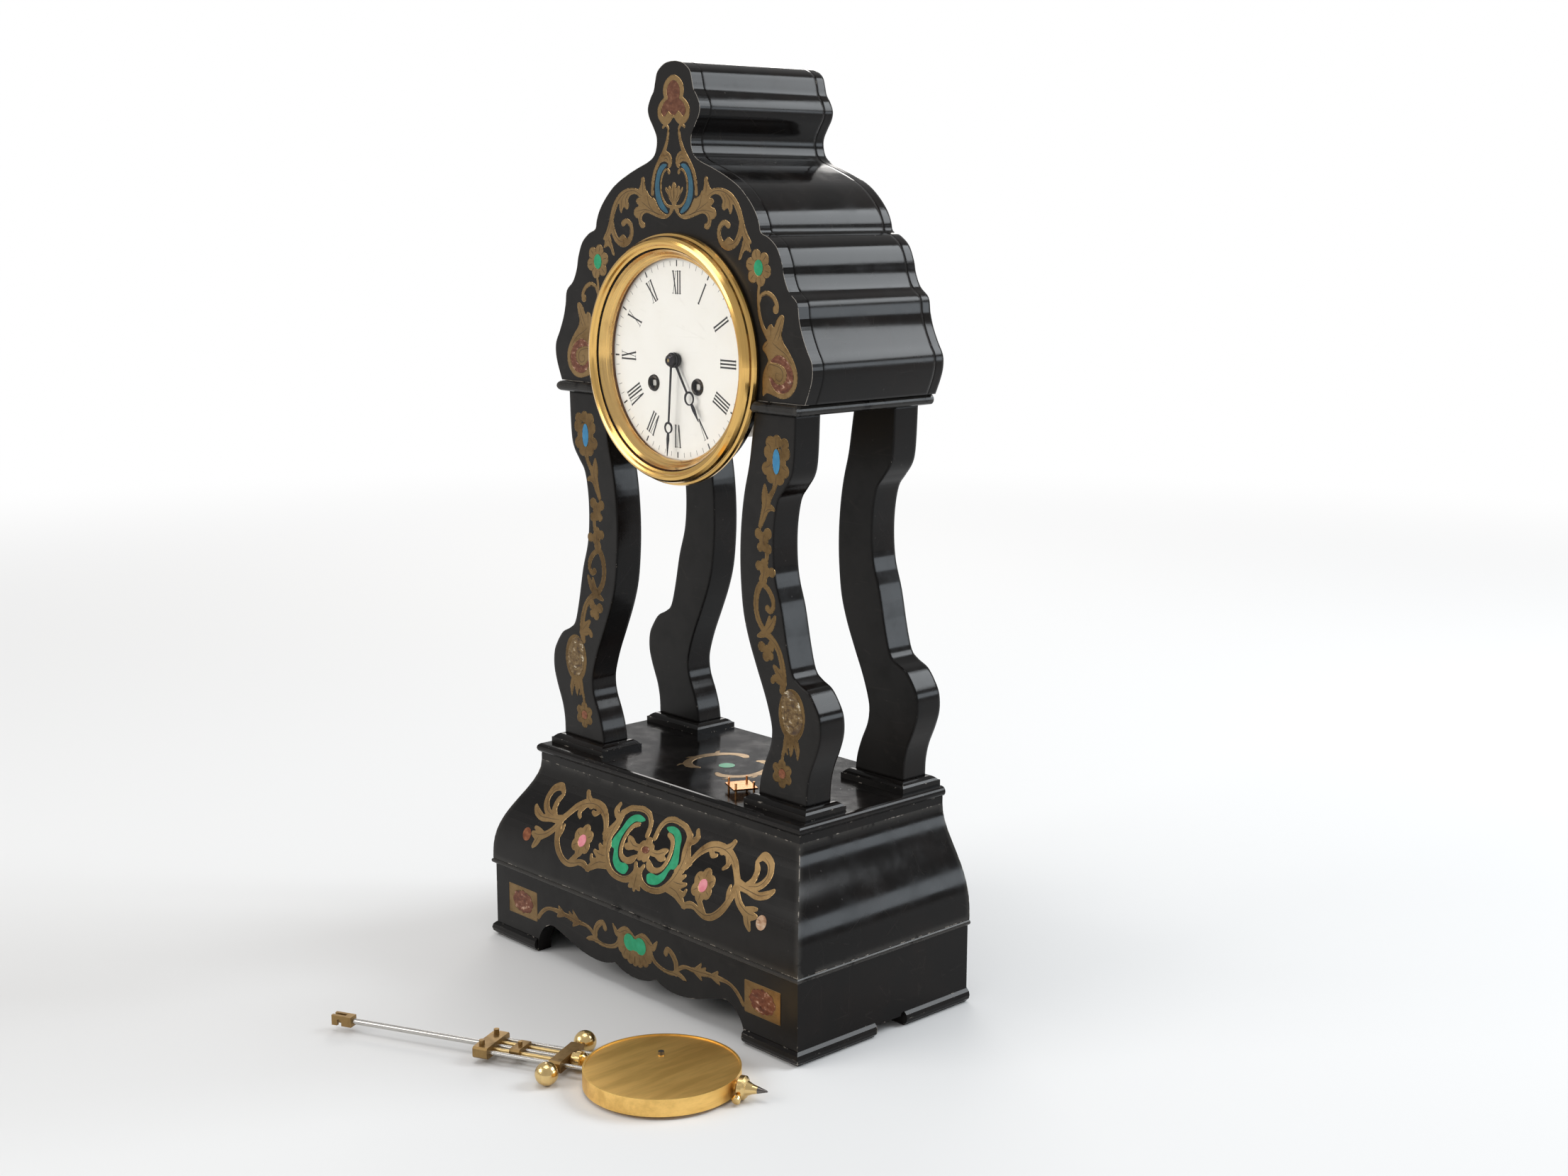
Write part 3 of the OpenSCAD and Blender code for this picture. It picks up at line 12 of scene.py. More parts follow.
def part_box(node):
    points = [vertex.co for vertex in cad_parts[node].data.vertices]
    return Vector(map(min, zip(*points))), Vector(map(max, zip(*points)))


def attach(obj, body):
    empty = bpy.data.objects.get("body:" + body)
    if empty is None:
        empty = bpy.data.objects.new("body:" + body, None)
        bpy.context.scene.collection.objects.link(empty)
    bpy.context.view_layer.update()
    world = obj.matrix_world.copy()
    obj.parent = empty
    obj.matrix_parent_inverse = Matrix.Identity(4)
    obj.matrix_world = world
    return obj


bl_info = {
    "name": "Portico clock dressing",
    "version": (1, 0, 0),
    "blender": (4, 5, 0),
    "location": "3D View > Sidebar > Clock",
    "description": "Dresses the packed table clock with its inlay, dial writing and finishes",
    "category": "Object",
}

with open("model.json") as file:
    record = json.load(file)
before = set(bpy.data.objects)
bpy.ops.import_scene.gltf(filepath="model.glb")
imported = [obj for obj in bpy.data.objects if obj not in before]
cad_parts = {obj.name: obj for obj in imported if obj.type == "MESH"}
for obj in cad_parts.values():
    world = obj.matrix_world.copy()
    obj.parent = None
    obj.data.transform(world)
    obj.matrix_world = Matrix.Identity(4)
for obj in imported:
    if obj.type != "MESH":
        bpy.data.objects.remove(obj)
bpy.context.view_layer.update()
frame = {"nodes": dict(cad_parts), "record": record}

MM = 0.001


def centre_of(node):
    low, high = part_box(node)
    return (low + high) / 2


OGEE_POWER = 1.33  # of the height, in the curve that part.scad gives the base

dial_centre = centre_of("dial")
bob_centre = centre_of("pendulum_bob")


# ---- Settings ----


def colour_setting(name, description, default):
    return bpy.props.FloatVectorProperty(
        name=name, description=description, subtype="COLOR", size=4, default=(*default, 1)
    )


def length_setting(name, description, millimetres):
    return bpy.props.FloatProperty(
        name=name, description=description, default=millimetres * MM, unit="LENGTH"
    )


class ClockColours(bpy.types.PropertyGroup):
    wood: colour_setting(
        "Ebonised wood", "Colour of the black polish", (0.0042, 0.0036, 0.0034)
    )
    # Paler colour of the front faces: painted light from the front, on a polish that is also really
    # duller
    front_lit_wood: colour_setting(
        "Dulled wood",
        "Colour of the front faces, whose polish has gone dull",
        (0.0165, 0.0150, 0.0140),
    )
    bare_wood: colour_setting(
        "Worn wood", "Colour that shows where the polish is chipped", (0.42, 0.38, 0.33)
    )
    inlay_brass: colour_setting(
        "Inlaid brass", "Colour of the tarnished brass inlay", (0.27, 0.176, 0.080)
    )
    blue_horn: colour_setting(
        "Blue inlay", "Colour of the blue ovals of the columns", (0.030, 0.20, 0.39)
    )
    green_horn: colour_setting(
        "Green inlay", "Colour of the green inlay", (0.010, 0.29, 0.125)
    )
    enamel: colour_setting("Enamel", "Colour of the dial", (0.86, 0.835, 0.79))


class InlaySizes(bpy.types.PropertyGroup):
    proud: length_setting("Height", "How far the inlay stands over the wood", 0.08)
    sunk: length_setting("Depth", "How far the inlay goes into the wood", 0.25)
    rim: length_setting("Rim", "Width of the bevel round each inlaid form", 0.3)
    pitch: length_setting("Pitch", "Spacing of the grid on which the inlay is drawn", 0.4)


class DialSizes(bpy.types.PropertyGroup):
    numeral_foot: length_setting(
        "Numeral foot", "Radius at which the hour numerals start", 34.2
    )
    numeral_head: length_setting(
        "Numeral head", "Radius at which the hour numerals end", 45.6
    )
    minute_foot: length_setting(
        "Minute foot", "Radius at which the minute marks start", 48.4
    )
    minute_head: length_setting(
        "Minute head", "Radius at which the minute marks end", 50.9
    )


class StageSizes(bpy.types.PropertyGroup):
    azimuth: bpy.props.FloatProperty(
        name="Azimuth",
        description="Direction of the camera, turned from the front to the right",
        default=math.radians(46.896),
        subtype="ANGLE",
    )
    elevation: bpy.props.FloatProperty(
        name="Elevation",
        description="Height of the camera's line of sight over the level",
        default=math.radians(10.807),
        subtype="ANGLE",
    )
    roll: bpy.props.FloatProperty(
        name="Roll",
        description="Tilt of the camera round its line of sight",
        default=math.radians(0.157),
        subtype="ANGLE",
    )
    place: bpy.props.FloatVectorProperty(
        name="Place",
        description="Where the camera stands",
        default=(0.81585, -0.7168, 0.42265),
        subtype="TRANSLATION",
        unit="LENGTH",
    )
    lens: bpy.props.FloatProperty(
        name="Lens",
        description="Focal length on a 36 mm wide sensor, in millimetres",
        default=46.93,
    )
    floor: bpy.props.FloatVectorProperty(
        name="Floor",
        description="Colour of the floor",
        subtype="COLOR",
        size=4,
        default=(0.80, 0.80, 0.80, 1),
    )


# ---- Nodes of materials and groups ----


class Wiring:
    """Adds nodes to a tree and joins them; an input takes a value or another node's output."""

    def __init__(self, tree):
        self.tree = tree

    def node(self, kind, settings=(), inputs=()):
        made = self.tree.nodes.new("ShaderNode" + kind)
        for name, value in dict(settings).items():
            setattr(made, name, value)
        for socket, value in dict(inputs).items():
            self.put(made.inputs[socket], value)
        return made

    def put(self, socket, value):
        if isinstance(value, bpy.types.NodeSocket):
            self.tree.links.new(value, socket)
        else:
            socket.default_value = value

    def sum(self, how, a, b=0.0, clamp=False):
        return self.node("Math", {"operation": how, "use_clamp": clamp}, {0: a, 1: b}).outputs[0]

    def times(self, a, b, clamp=False):
        return self.sum("MULTIPLY", a, b, clamp)

    def vector(self, how, a, b=(0, 0, 0), out=0):
        return self.node("VectorMath", {"operation": how}, {0: a, 1: b}).outputs[out]

    def mix(self, share, a, b):
        made = self.node("Mix", {"data_type": "RGBA"}, {0: share, 6: a, 7: b})
        return made.outputs[2]

    def blend(self, share, a, b):
        made = self.node("Mix", {"data_type": "FLOAT"}, {0: share, 2: a, 3: b})
        return made.outputs[0]

    def band(self, value, low, high):
        """0 at low and 1 at high, smooth between."""
        made = self.node(
            "MapRange",
            {"interpolation_type": "SMOOTHSTEP"},
            {"Value": value, "From Min": low, "From Max": high},
        )
        return made.outputs[0]

    def noise(self, where, scale, detail=3.0, rough=0.5):
        made = self.node(
            "TexNoise",
            (),
            {"Vector": where, "Scale": scale, "Detail": detail, "Roughness": rough},
        )
        return made.outputs[0]

    def place(self):
        return self.node("TexCoord").outputs["Object"]

    def normal(self):
        return self.node("NewGeometry").outputs["Normal"]

    def part(self, vector, axis):
        """One number of a vector; axis is 0, 1 or 2."""
        return self.node("SeparateXYZ", (), {0: vector}).outputs[axis]

    def group(self, name, **inputs):
        """Adds a group by name and returns its output; an input's spaces are written as underscores."""
        made = self.node("Group", {"node_tree": group_named(name)})
        for label, value in inputs.items():
            self.put(made.inputs[label.replace("_", " ")], value)
        return made.outputs[0]


def new_group(name, inputs, output):
    """A shader group: inputs are (name, kind, default), output is (name, kind)."""
    tree = bpy.data.node_groups.new(name, "ShaderNodeTree")
    kinds = {"value": "NodeSocketFloat", "vector": "NodeSocketVector"}
    for label, kind, default in inputs:
        made = tree.interface.new_socket(label, in_out="INPUT", socket_type=kinds[kind])
        made.default_value = default
    tree.interface.new_socket(output[0], in_out="OUTPUT", socket_type=kinds[output[1]])
    wires = Wiring(tree)
    return tree, wires, tree.nodes.new("NodeGroupInput"), tree.nodes.new("NodeGroupOutput")


def worn_edges():
    """Chipped places along edges; Width is how far the wear reaches from the edge. A wide one also marks
    the band of painted highlight beside the edges of the wood.
    """
    tree, w, given, out = new_group(
        "Worn edges",
        [("Width", "value", 1.2 * MM), ("Nick Scale", "value", 160.0), ("Bareness", "value", 0.5)],
        ("Wear", "value"),
    )
    rounded = w.node("Bevel", {"samples": 6}, {"Radius": given.outputs["Width"]}).outputs[0]
    flat = w.normal()
    turned = w.sum("SUBTRACT", 1.0, w.vector("DOT_PRODUCT", rounded, flat, 1))
    edge = w.band(turned, 0.004, 0.10)
    nicks = w.noise(w.place(), given.outputs["Nick Scale"], 5.0, 0.65)
    low = w.sum("SUBTRACT", 0.78, w.times(given.outputs["Bareness"], 0.4))
    chipped = w.band(nicks, low, w.sum("ADD", low, 0.06))
    w.put(out.inputs[0], w.times(edge, chipped, True))
    return tree


def patches():
    """Cloudy patches: 0 where the noise is under Low, 1 over High."""
    tree, w, given, out = new_group(
        "Patches",
        [("Scale", "value", 40.0), ("Low", "value", 0.45), ("High", "value", 0.65)],
        ("Mask", "value"),
    )
    cloud = w.noise(w.place(), given.outputs["Scale"], 6.0, 0.6)
    w.put(out.inputs[0], w.band(cloud, given.outputs["Low"], given.outputs["High"]))
    return tree


def front_faces():
    """1 on faces that look to the front, 0 on the others."""
    tree, w, given, out = new_group(
        "Front faces", [("From", "value", 0.8), ("To", "value", 0.97)], ("Mask", "value")
    )
    facing = w.vector("DOT_PRODUCT", w.normal(), (0, -1, 0), 1)
    w.put(out.inputs[0], w.band(facing, given.outputs["From"], given.outputs["To"]))
    return tree


def drawn_lines():
    """Fine lines along the axis whose Stretch is smallest."""
    tree, w, given, out = new_group(
        "Drawn lines", [("Stretch", "vector", (60, 2000, 2000))], ("Lines", "value")
    )
    stretched = w.vector("MULTIPLY", w.place(), given.outputs["Stretch"])
    w.put(out.inputs[0], w.noise(stretched, 1.0, 4.0, 0.6))
    return tree


def turned_lines():
    """Fine rings round an axis through Centre; Across is 0 along that axis."""
    tree, w, given, out = new_group(
        "Turned lines",
        [("Centre", "vector", (0, 0, 0)), ("Across", "vector", (1, 0, 1)), ("Scale", "value", 3000.0)],
        ("Lines", "value"),
    )
    away = w.vector("SUBTRACT", w.place(), given.outputs["Centre"])
    reach = w.vector("LENGTH", w.vector("MULTIPLY", away, given.outputs["Across"]), out=1)
    ring = w.node("CombineXYZ", (), {0: w.times(reach, given.outputs["Scale"])}).outputs[0]
    slow = w.vector("MULTIPLY", w.place(), (40, 40, 40))
    w.put(out.inputs[0], w.noise(w.vector("ADD", ring, slow), 1.0, 3.0, 0.6))
    return tree


def scratches():
    """Thin broken scratches in three directions."""
    tree, w, given, out = new_group(
        "Scratches", [("Scale", "value", 30.0), ("Width", "value", 0.012)], ("Mask", "value")
    )
    found = None
    for turn, lean in ((0.5, 0.3), (-0.9, 1.1), (2.2, -0.6)):
        turned = w.node(
            "Mapping", (),
            {"Vector": w.place(), "Rotation": (lean, turn, turn), "Scale": (0.16, 1.0, 1.0)},
        )
        cells = w.node(
            "TexVoronoi",
            {"feature": "DISTANCE_TO_EDGE"},
            {"Vector": turned.outputs[0], "Scale": given.outputs["Scale"]},
        ).outputs[0]
        line = w.band(cells, given.outputs["Width"], 0.0)
        broken = w.band(w.noise(w.place(), 90.0 + 40 * turn, 2.0), 0.52, 0.62)
        line = w.times(line, broken)
        found = line if found is None else w.sum("MAXIMUM", found, line)
    w.put(out.inputs[0], found)
    return tree


def dust():
    """Specks and haze, for the most part on faces that look up."""
    tree, w, given, out = new_group(
        "Dust", [("Speck Scale", "value", 260.0), ("Haze", "value", 0.3)], ("Mask", "value")
    )
    up = w.part(w.normal(), 2)
    level = w.band(up, 0.35, 0.95)
    cells = w.node(
        "TexVoronoi", {"feature": "F1"}, {"Vector": w.place(), "Scale": given.outputs["Speck Scale"]},
    )
    chosen = w.band(w.node("SeparateColor", (), {0: cells.outputs["Color"]}).outputs[0], 0.93, 0.96)
    speck = w.times(w.band(cells.outputs["Distance"], 0.16, 0.06), chosen)
    haze = w.times(w.band(w.noise(w.place(), 35.0, 5.0, 0.7), 0.4, 0.75), given.outputs["Haze"])
    both = w.times(level, w.sum("MAXIMUM", speck, haze), True)
    w.put(out.inputs[0], w.sum("MAXIMUM", both, w.times(speck, 0.25)))
    return tree


def softened_flats():
    """The direction of a surface whose edges are rounded by Radius."""
    tree, w, given, out = new_group(
        "Softened flats", [("Radius", "value", 2 * MM)], ("Normal", "vector"),
    )
    w.put(
        out.inputs[0], w.node("Bevel", {"samples": 8}, {"Radius": given.outputs["Radius"]}).outputs[0],
    )
    return tree


def group_named(name):
    """The shader group of that name, made when it is first asked for."""
    makers = {
        "Worn edges": worn_edges,
        "Patches": patches,
        "Front faces": front_faces,
        "Drawn lines": drawn_lines,
        "Turned lines": turned_lines,
        "Scratches": scratches,
        "Dust": dust,
        "Softened flats": softened_flats,
    }
    return bpy.data.node_groups.get(name) or makers[name]()


def new_material(name):
    """A material with one Principled shader; returns it, its wiring and the shader."""
    made = bpy.data.materials.new(name)
    made.use_nodes = True
    wires = Wiring(made.node_tree)
    return made, wires, made.node_tree.nodes["Principled BSDF"]


def shade(colour, factor):
    """A colour made darker or lighter."""
    return (*(min(1.0, c * factor) for c in colour[:3]), 1)


def relief(w, shader, height, depth, strength=1.0, curve=None):
    """Height, 0 to 1, as a bump of that depth in metres, on a surface whose direction curve may give."""
    bump = w.node("Bump", (), {"Strength": strength, "Distance": depth, "Height": height})
    if curve:
        w.put(bump.inputs["Normal"], curve(w))
    w.put(shader.inputs["Normal"], bump.outputs[0])


# ---- Finishes ----


def ogee_normal(w):
    """The true direction of the base's curved sides, which follow half a cosine wave."""
    low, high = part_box("ogee_base")
    depth, height = neck_of_ogee() - low.y, high.z - low.z
    up = w.part(w.place(), 2)
    share = w.sum("DIVIDE", w.sum("SUBTRACT", up, low.z), height, True)
    turn = w.sum("SINE", w.times(w.sum("POWER", share, OGEE_POWER), math.pi))
    steep = w.times(w.sum("POWER", share, OGEE_POWER - 1), 0.5 * math.pi * OGEE_POWER * depth / height)
    level = w.vector("NORMALIZE", w.vector("MULTIPLY", w.normal(), (1, 1, 0)))
    rise = w.node("CombineXYZ", (), {2: w.times(steep, turn)}).outputs[0]
    return w.vector("NORMALIZE", w.vector("ADD", level, rise))


def softened(radius):
    """A curved board's direction, as if its narrow flats were one round surface."""
    return lambda w: w.group("Softened flats", Radius=radius)


def ebonised_wood(
    name, stretch, bareness=0.48, width=0.9 * MM, rubbed_sheen=0.0, edge_until=None, curve=None,
):
    """Black polish whose pores run along the short side of stretch; faces to the front are dull and get a
    paler colour that is painted light from the front.

    bareness is the share of each edge that is chipped, and the rubbed sheen is how grey the polish is
    beside it: partly rubbed polish, partly a painted highlight.
    No edge is worn behind edge_until. curve is a function that adds the surface's own direction."""
    colours = bpy.context.scene.clock_colours
    made, w, shader = new_material(name)
    front = w.group("Front faces", From=0.80, To=0.97)
    pores = w.group("Drawn lines", Stretch=stretch)
    faded = w.group("Patches", Scale=24.0, Low=0.42, High=0.72)
    smears = w.group("Patches", Scale=70.0, Low=0.40, High=0.75)
    wear = w.group("Worn edges", Width=width, Nick_Scale=210.0, Bareness=bareness)
    if edge_until is not None:
        depth = w.part(w.place(), 1)
        wear = w.times(wear, w.band(depth, edge_until, edge_until - 1 * MM))
    marks = w.group("Scratches", Scale=26.0, Width=0.010)
    dirt = w.group("Dust", Speck_Scale=240.0, Haze=0.10)
    black, lit_front_tone = tuple(colours.wood), tuple(colours.front_lit_wood)
    brown = (black[0] * 1.8, black[1] * 1.45, black[2] * 1.3, 1)
    colour = w.mix(faded, black, brown)
    # Paler colour on faces that look to the front: painted light from the front; their really duller
    # polish is the added roughness below
    colour = w.mix(front, colour, w.mix(smears, lit_front_tone, shade(lit_front_tone, 0.72)))
    colour = w.mix(w.times(w.band(pores, 0.62, 0.75), 0.30), colour, (0.016, 0.013, 0.012, 1))
    colour = w.mix(w.times(marks, 0.05), colour, (0.12, 0.10, 0.085, 1))
    colour = w.mix(w.times(dirt, 0.30), colour, (0.26, 0.24, 0.22, 1))
    # Grey band beside the edges: partly rubbed polish, partly a painted highlight
    if rubbed_sheen:
        beside = w.group("Worn edges", Width=6 * MM, Nick_Scale=45.0, Bareness=1.0)
        colour = w.mix(w.times(beside, rubbed_sheen), colour, (0.07, 0.066, 0.060, 1))
    colour = w.mix(wear, colour, tuple(colours.bare_wood))
    w.put(shader.inputs["Base Color"], colour)
    rough = w.sum("ADD", w.blend(smears, 0.11, 0.19), w.times(front, 0.20))
    rough = w.sum("ADD", rough, w.times(w.sum("MAXIMUM", wear, dirt), 0.4), True)
    w.put(shader.inputs["Roughness"], rough)
    shader.inputs["Specular IOR Level"].default_value = 0.15
    relief(w, shader, w.sum("SUBTRACT", w.times(pores, 0.25), wear), 0.05 * MM, 0.45, curve)
    return made


def peg_of_bob(w):
    """Mask of the peg that stands on the bob's face."""
    apart = w.vector("SUBTRACT", w.place(), tuple(bob_centre))
    level = w.vector("LENGTH", w.vector("MULTIPLY", apart, (1, 1, 0)), out=1)
    inside_rim = w.band(level, 30 * MM, 28 * MM)
    peg_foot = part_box("pendulum_bob")[1].z - 1.9 * MM
    return w.times(inside_rim, w.band(w.part(w.place(), 2), peg_foot, peg_foot + 0.2 * MM))


def tip_of_finial(w):
    """Mask of the steel point beyond the turned finial."""
    reach = w.vector("LENGTH", w.vector("SUBTRACT", w.place(), tuple(bob_centre)), out=1)
    return w.band(reach, 49.9 * MM, 50.3 * MM)


def brass(
    name, colour, dark, rough, tarnish, lines, depth=0.006 * MM, spots=0.0, streaks=None,
    steel_part=None,
):
    """Brass that is tarnished in patches, and dark in spots and in streaks where these are given.

    lines is a function that adds its tool marks to the wiring, and steel_part one that masks steel."""
    made, w, shader = new_material(name)
    marks = lines(w)
    cloud = w.group(
        "Patches", Scale=55.0, Low=0.62 - tarnish * 0.3, High=0.86 - tarnish * 0.2,
    )
    fine = w.group("Patches", Scale=420.0, Low=0.5, High=0.72)
    wear = w.group("Worn edges", Width=0.5 * MM, Nick_Scale=300.0, Bareness=0.9)
    mask = w.times(cloud, w.blend(fine, 0.55, 1.0))
    tone = w.mix(w.times(mask, min(1.0, 0.35 + tarnish)), colour, dark)
    tone = w.mix(w.times(w.band(marks, 0.45, 0.75), 0.22), tone, dark)
    if streaks:
        bands = w.group("Drawn lines", Stretch=streaks)
        tone = w.mix(w.times(w.band(bands, 0.38, 0.66), 0.55), tone, dark)
    if spots:
        speck = w.group("Patches", Scale=900.0, Low=0.70, High=0.78)
        tone = w.mix(w.times(speck, spots), tone, (0.05, 0.03, 0.015, 1))
    tone = w.mix(w.times(wear, 0.5), tone, shade(colour, 1.18))
    if steel_part:
        tone = w.mix(steel_part(w), tone, (0.16, 0.145, 0.135, 1))
    w.put(shader.inputs["Base Color"], tone)
    shader.inputs["Metallic"].default_value = 1.0
    w.put(shader.inputs["Roughness"], w.blend(mask, rough, min(0.9, rough + 0.28)))
    relief(w, shader, marks, depth, 0.6)
    return made


def turned_at(centre, across, scale=3200.0):
    return lambda w: w.group("Turned lines", Centre=centre, Across=across, Scale=scale)


def drawn_along(stretch):
    return lambda w: w.group("Drawn lines", Stretch=stretch)


def steel(name, colour, rough, rust, stretch):
    """Steel or iron with drawn tool marks and some rust."""
    made, w, shader = new_material(name)
    marks = w.group("Drawn lines", Stretch=stretch)
    cloud = w.group("Patches", Scale=160.0, Low=0.60 - rust * 0.2, High=0.78)
    tone = w.mix(w.times(cloud, rust), colour, (0.09, 0.055, 0.035, 1))
    tone = w.mix(w.times(marks, 0.25), tone, shade(colour, 0.6))
    w.put(shader.inputs["Base Color"], tone)
    shader.inputs["Metallic"].default_value = 1.0
    w.put(shader.inputs["Roughness"], w.blend(cloud, rough, rough + 0.3))
    relief(w, shader, marks, 0.01 * MM, 0.5)
    return made


def enamel(name):
    """White vitreous enamel, faintly wavy, with hairlines."""
    made, w, shader = new_material(name)
    base = tuple(bpy.context.scene.clock_colours.enamel)
    cloud = w.group("Patches", Scale=45.0, Low=0.35, High=0.8)
    hair = w.group("Scratches", Scale=14.0, Width=0.004)
    tone = w.mix(w.times(cloud, 0.5), base, (base[0] * 0.93, base[1] * 0.92, base[2] * 0.88, 1))
    tone = w.mix(w.times(hair, 0.07), tone, (0.30, 0.26, 0.20, 1))
    w.put(shader.inputs["Base Color"], tone)
    w.put(shader.inputs["Roughness"], w.blend(cloud, 0.14, 0.24))
    shader.inputs["Coat Weight"].default_value = 0.5
    shader.inputs["Coat Roughness"].default_value = 0.06
    relief(w, shader, w.noise(w.place(), 60.0, 2.0), 0.05 * MM, 0.4)
    return made


def clear_glass(name):
    """Thin glass that lets the lamps' light through to the dial."""
    made, w, shader = new_material(name)
    smear = w.group("Patches", Scale=60.0, Low=0.5, High=0.9)
    w.put(shader.inputs["Base Color"], w.mix(smear, (0.99, 0.995, 0.99, 1), (0.965, 0.97, 0.965, 1)))
    w.put(shader.inputs["Roughness"], w.blend(smear, 0.0, 0.008))
    shader.inputs["Transmission Weight"].default_value = 1.0
    shader.inputs["IOR"].default_value = 1.18
    through = w.node("BsdfTransparent").outputs[0]
    shadow = w.node("LightPath").outputs["Is Shadow Ray"]
    both = w.node("MixShader", (), {0: shadow, 1: shader.outputs[0], 2: through}).outputs[0]
    w.put(made.node_tree.nodes["Material Output"].inputs["Surface"], both)
    return made


def painted(name, colour, light, rough, scale=220.0, coat=0.15):
    """Stained horn, shell or paint: a base colour with paler streaks under a clear polish."""
    made, w, shader = new_material(name)
    cloud = w.group("Patches", Scale=scale, Low=0.35, High=0.72)
    wear = w.group("Patches", Scale=scale * 3, Low=0.66, High=0.78)
    tone = w.mix(cloud, colour, light)
    tone = w.mix(w.times(wear, 0.6), tone, shade(colour, 0.45))
    w.put(shader.inputs["Base Color"], tone)
    w.put(shader.inputs["Roughness"], w.blend(cloud, rough, rough + 0.12))
    shader.inputs["Specular IOR Level"].default_value = 0.25
    shader.inputs["Coat Weight"].default_value = coat
    shader.inputs["Coat Roughness"].default_value = 0.1
    relief(w, shader, wear, 0.03 * MM, 0.4)
    return made


def pearl(name, shades, shine=0.5):
    """Shell or mother-of-pearl: shades from dark to light that follow the shell's growth."""
    made, w, shader = new_material(name)
    bands = w.noise(w.vector("MULTIPLY", w.place(), (260, 260, 420)), 1.0, 4.0, 0.6)
    ramp = w.node("ValToRGB", (), {0: bands})
    ramp.color_ramp.elements.remove(ramp.color_ramp.elements[0])
    for i, shade in enumerate(shades):
        at = 0.32 + 0.36 * i / (len(shades) - 1)
        stop = ramp.color_ramp.elements[0] if i == 0 else ramp.color_ramp.elements.new(at)
        stop.position = at
        stop.color = (*shade, 1)
    cracks = w.group("Scratches", Scale=60.0, Width=0.03)
    tone = w.mix(w.times(cracks, 0.6), ramp.outputs[0], (0.06, 0.035, 0.025, 1))
    w.put(shader.inputs["Base Color"], tone)
    w.put(shader.inputs["Roughness"], w.blend(bands, 0.34, 0.16))
    w.put(shader.inputs["Metallic"], w.times(w.band(bands, 0.45, 0.7), shine))
    shader.inputs["Specular IOR Level"].default_value = 0.2
    shader.inputs["Coat Weight"].default_value = 0.06
    shader.inputs["Coat Roughness"].default_value = 0.08
    relief(w, shader, cracks, -0.05 * MM, 0.5)
    return made


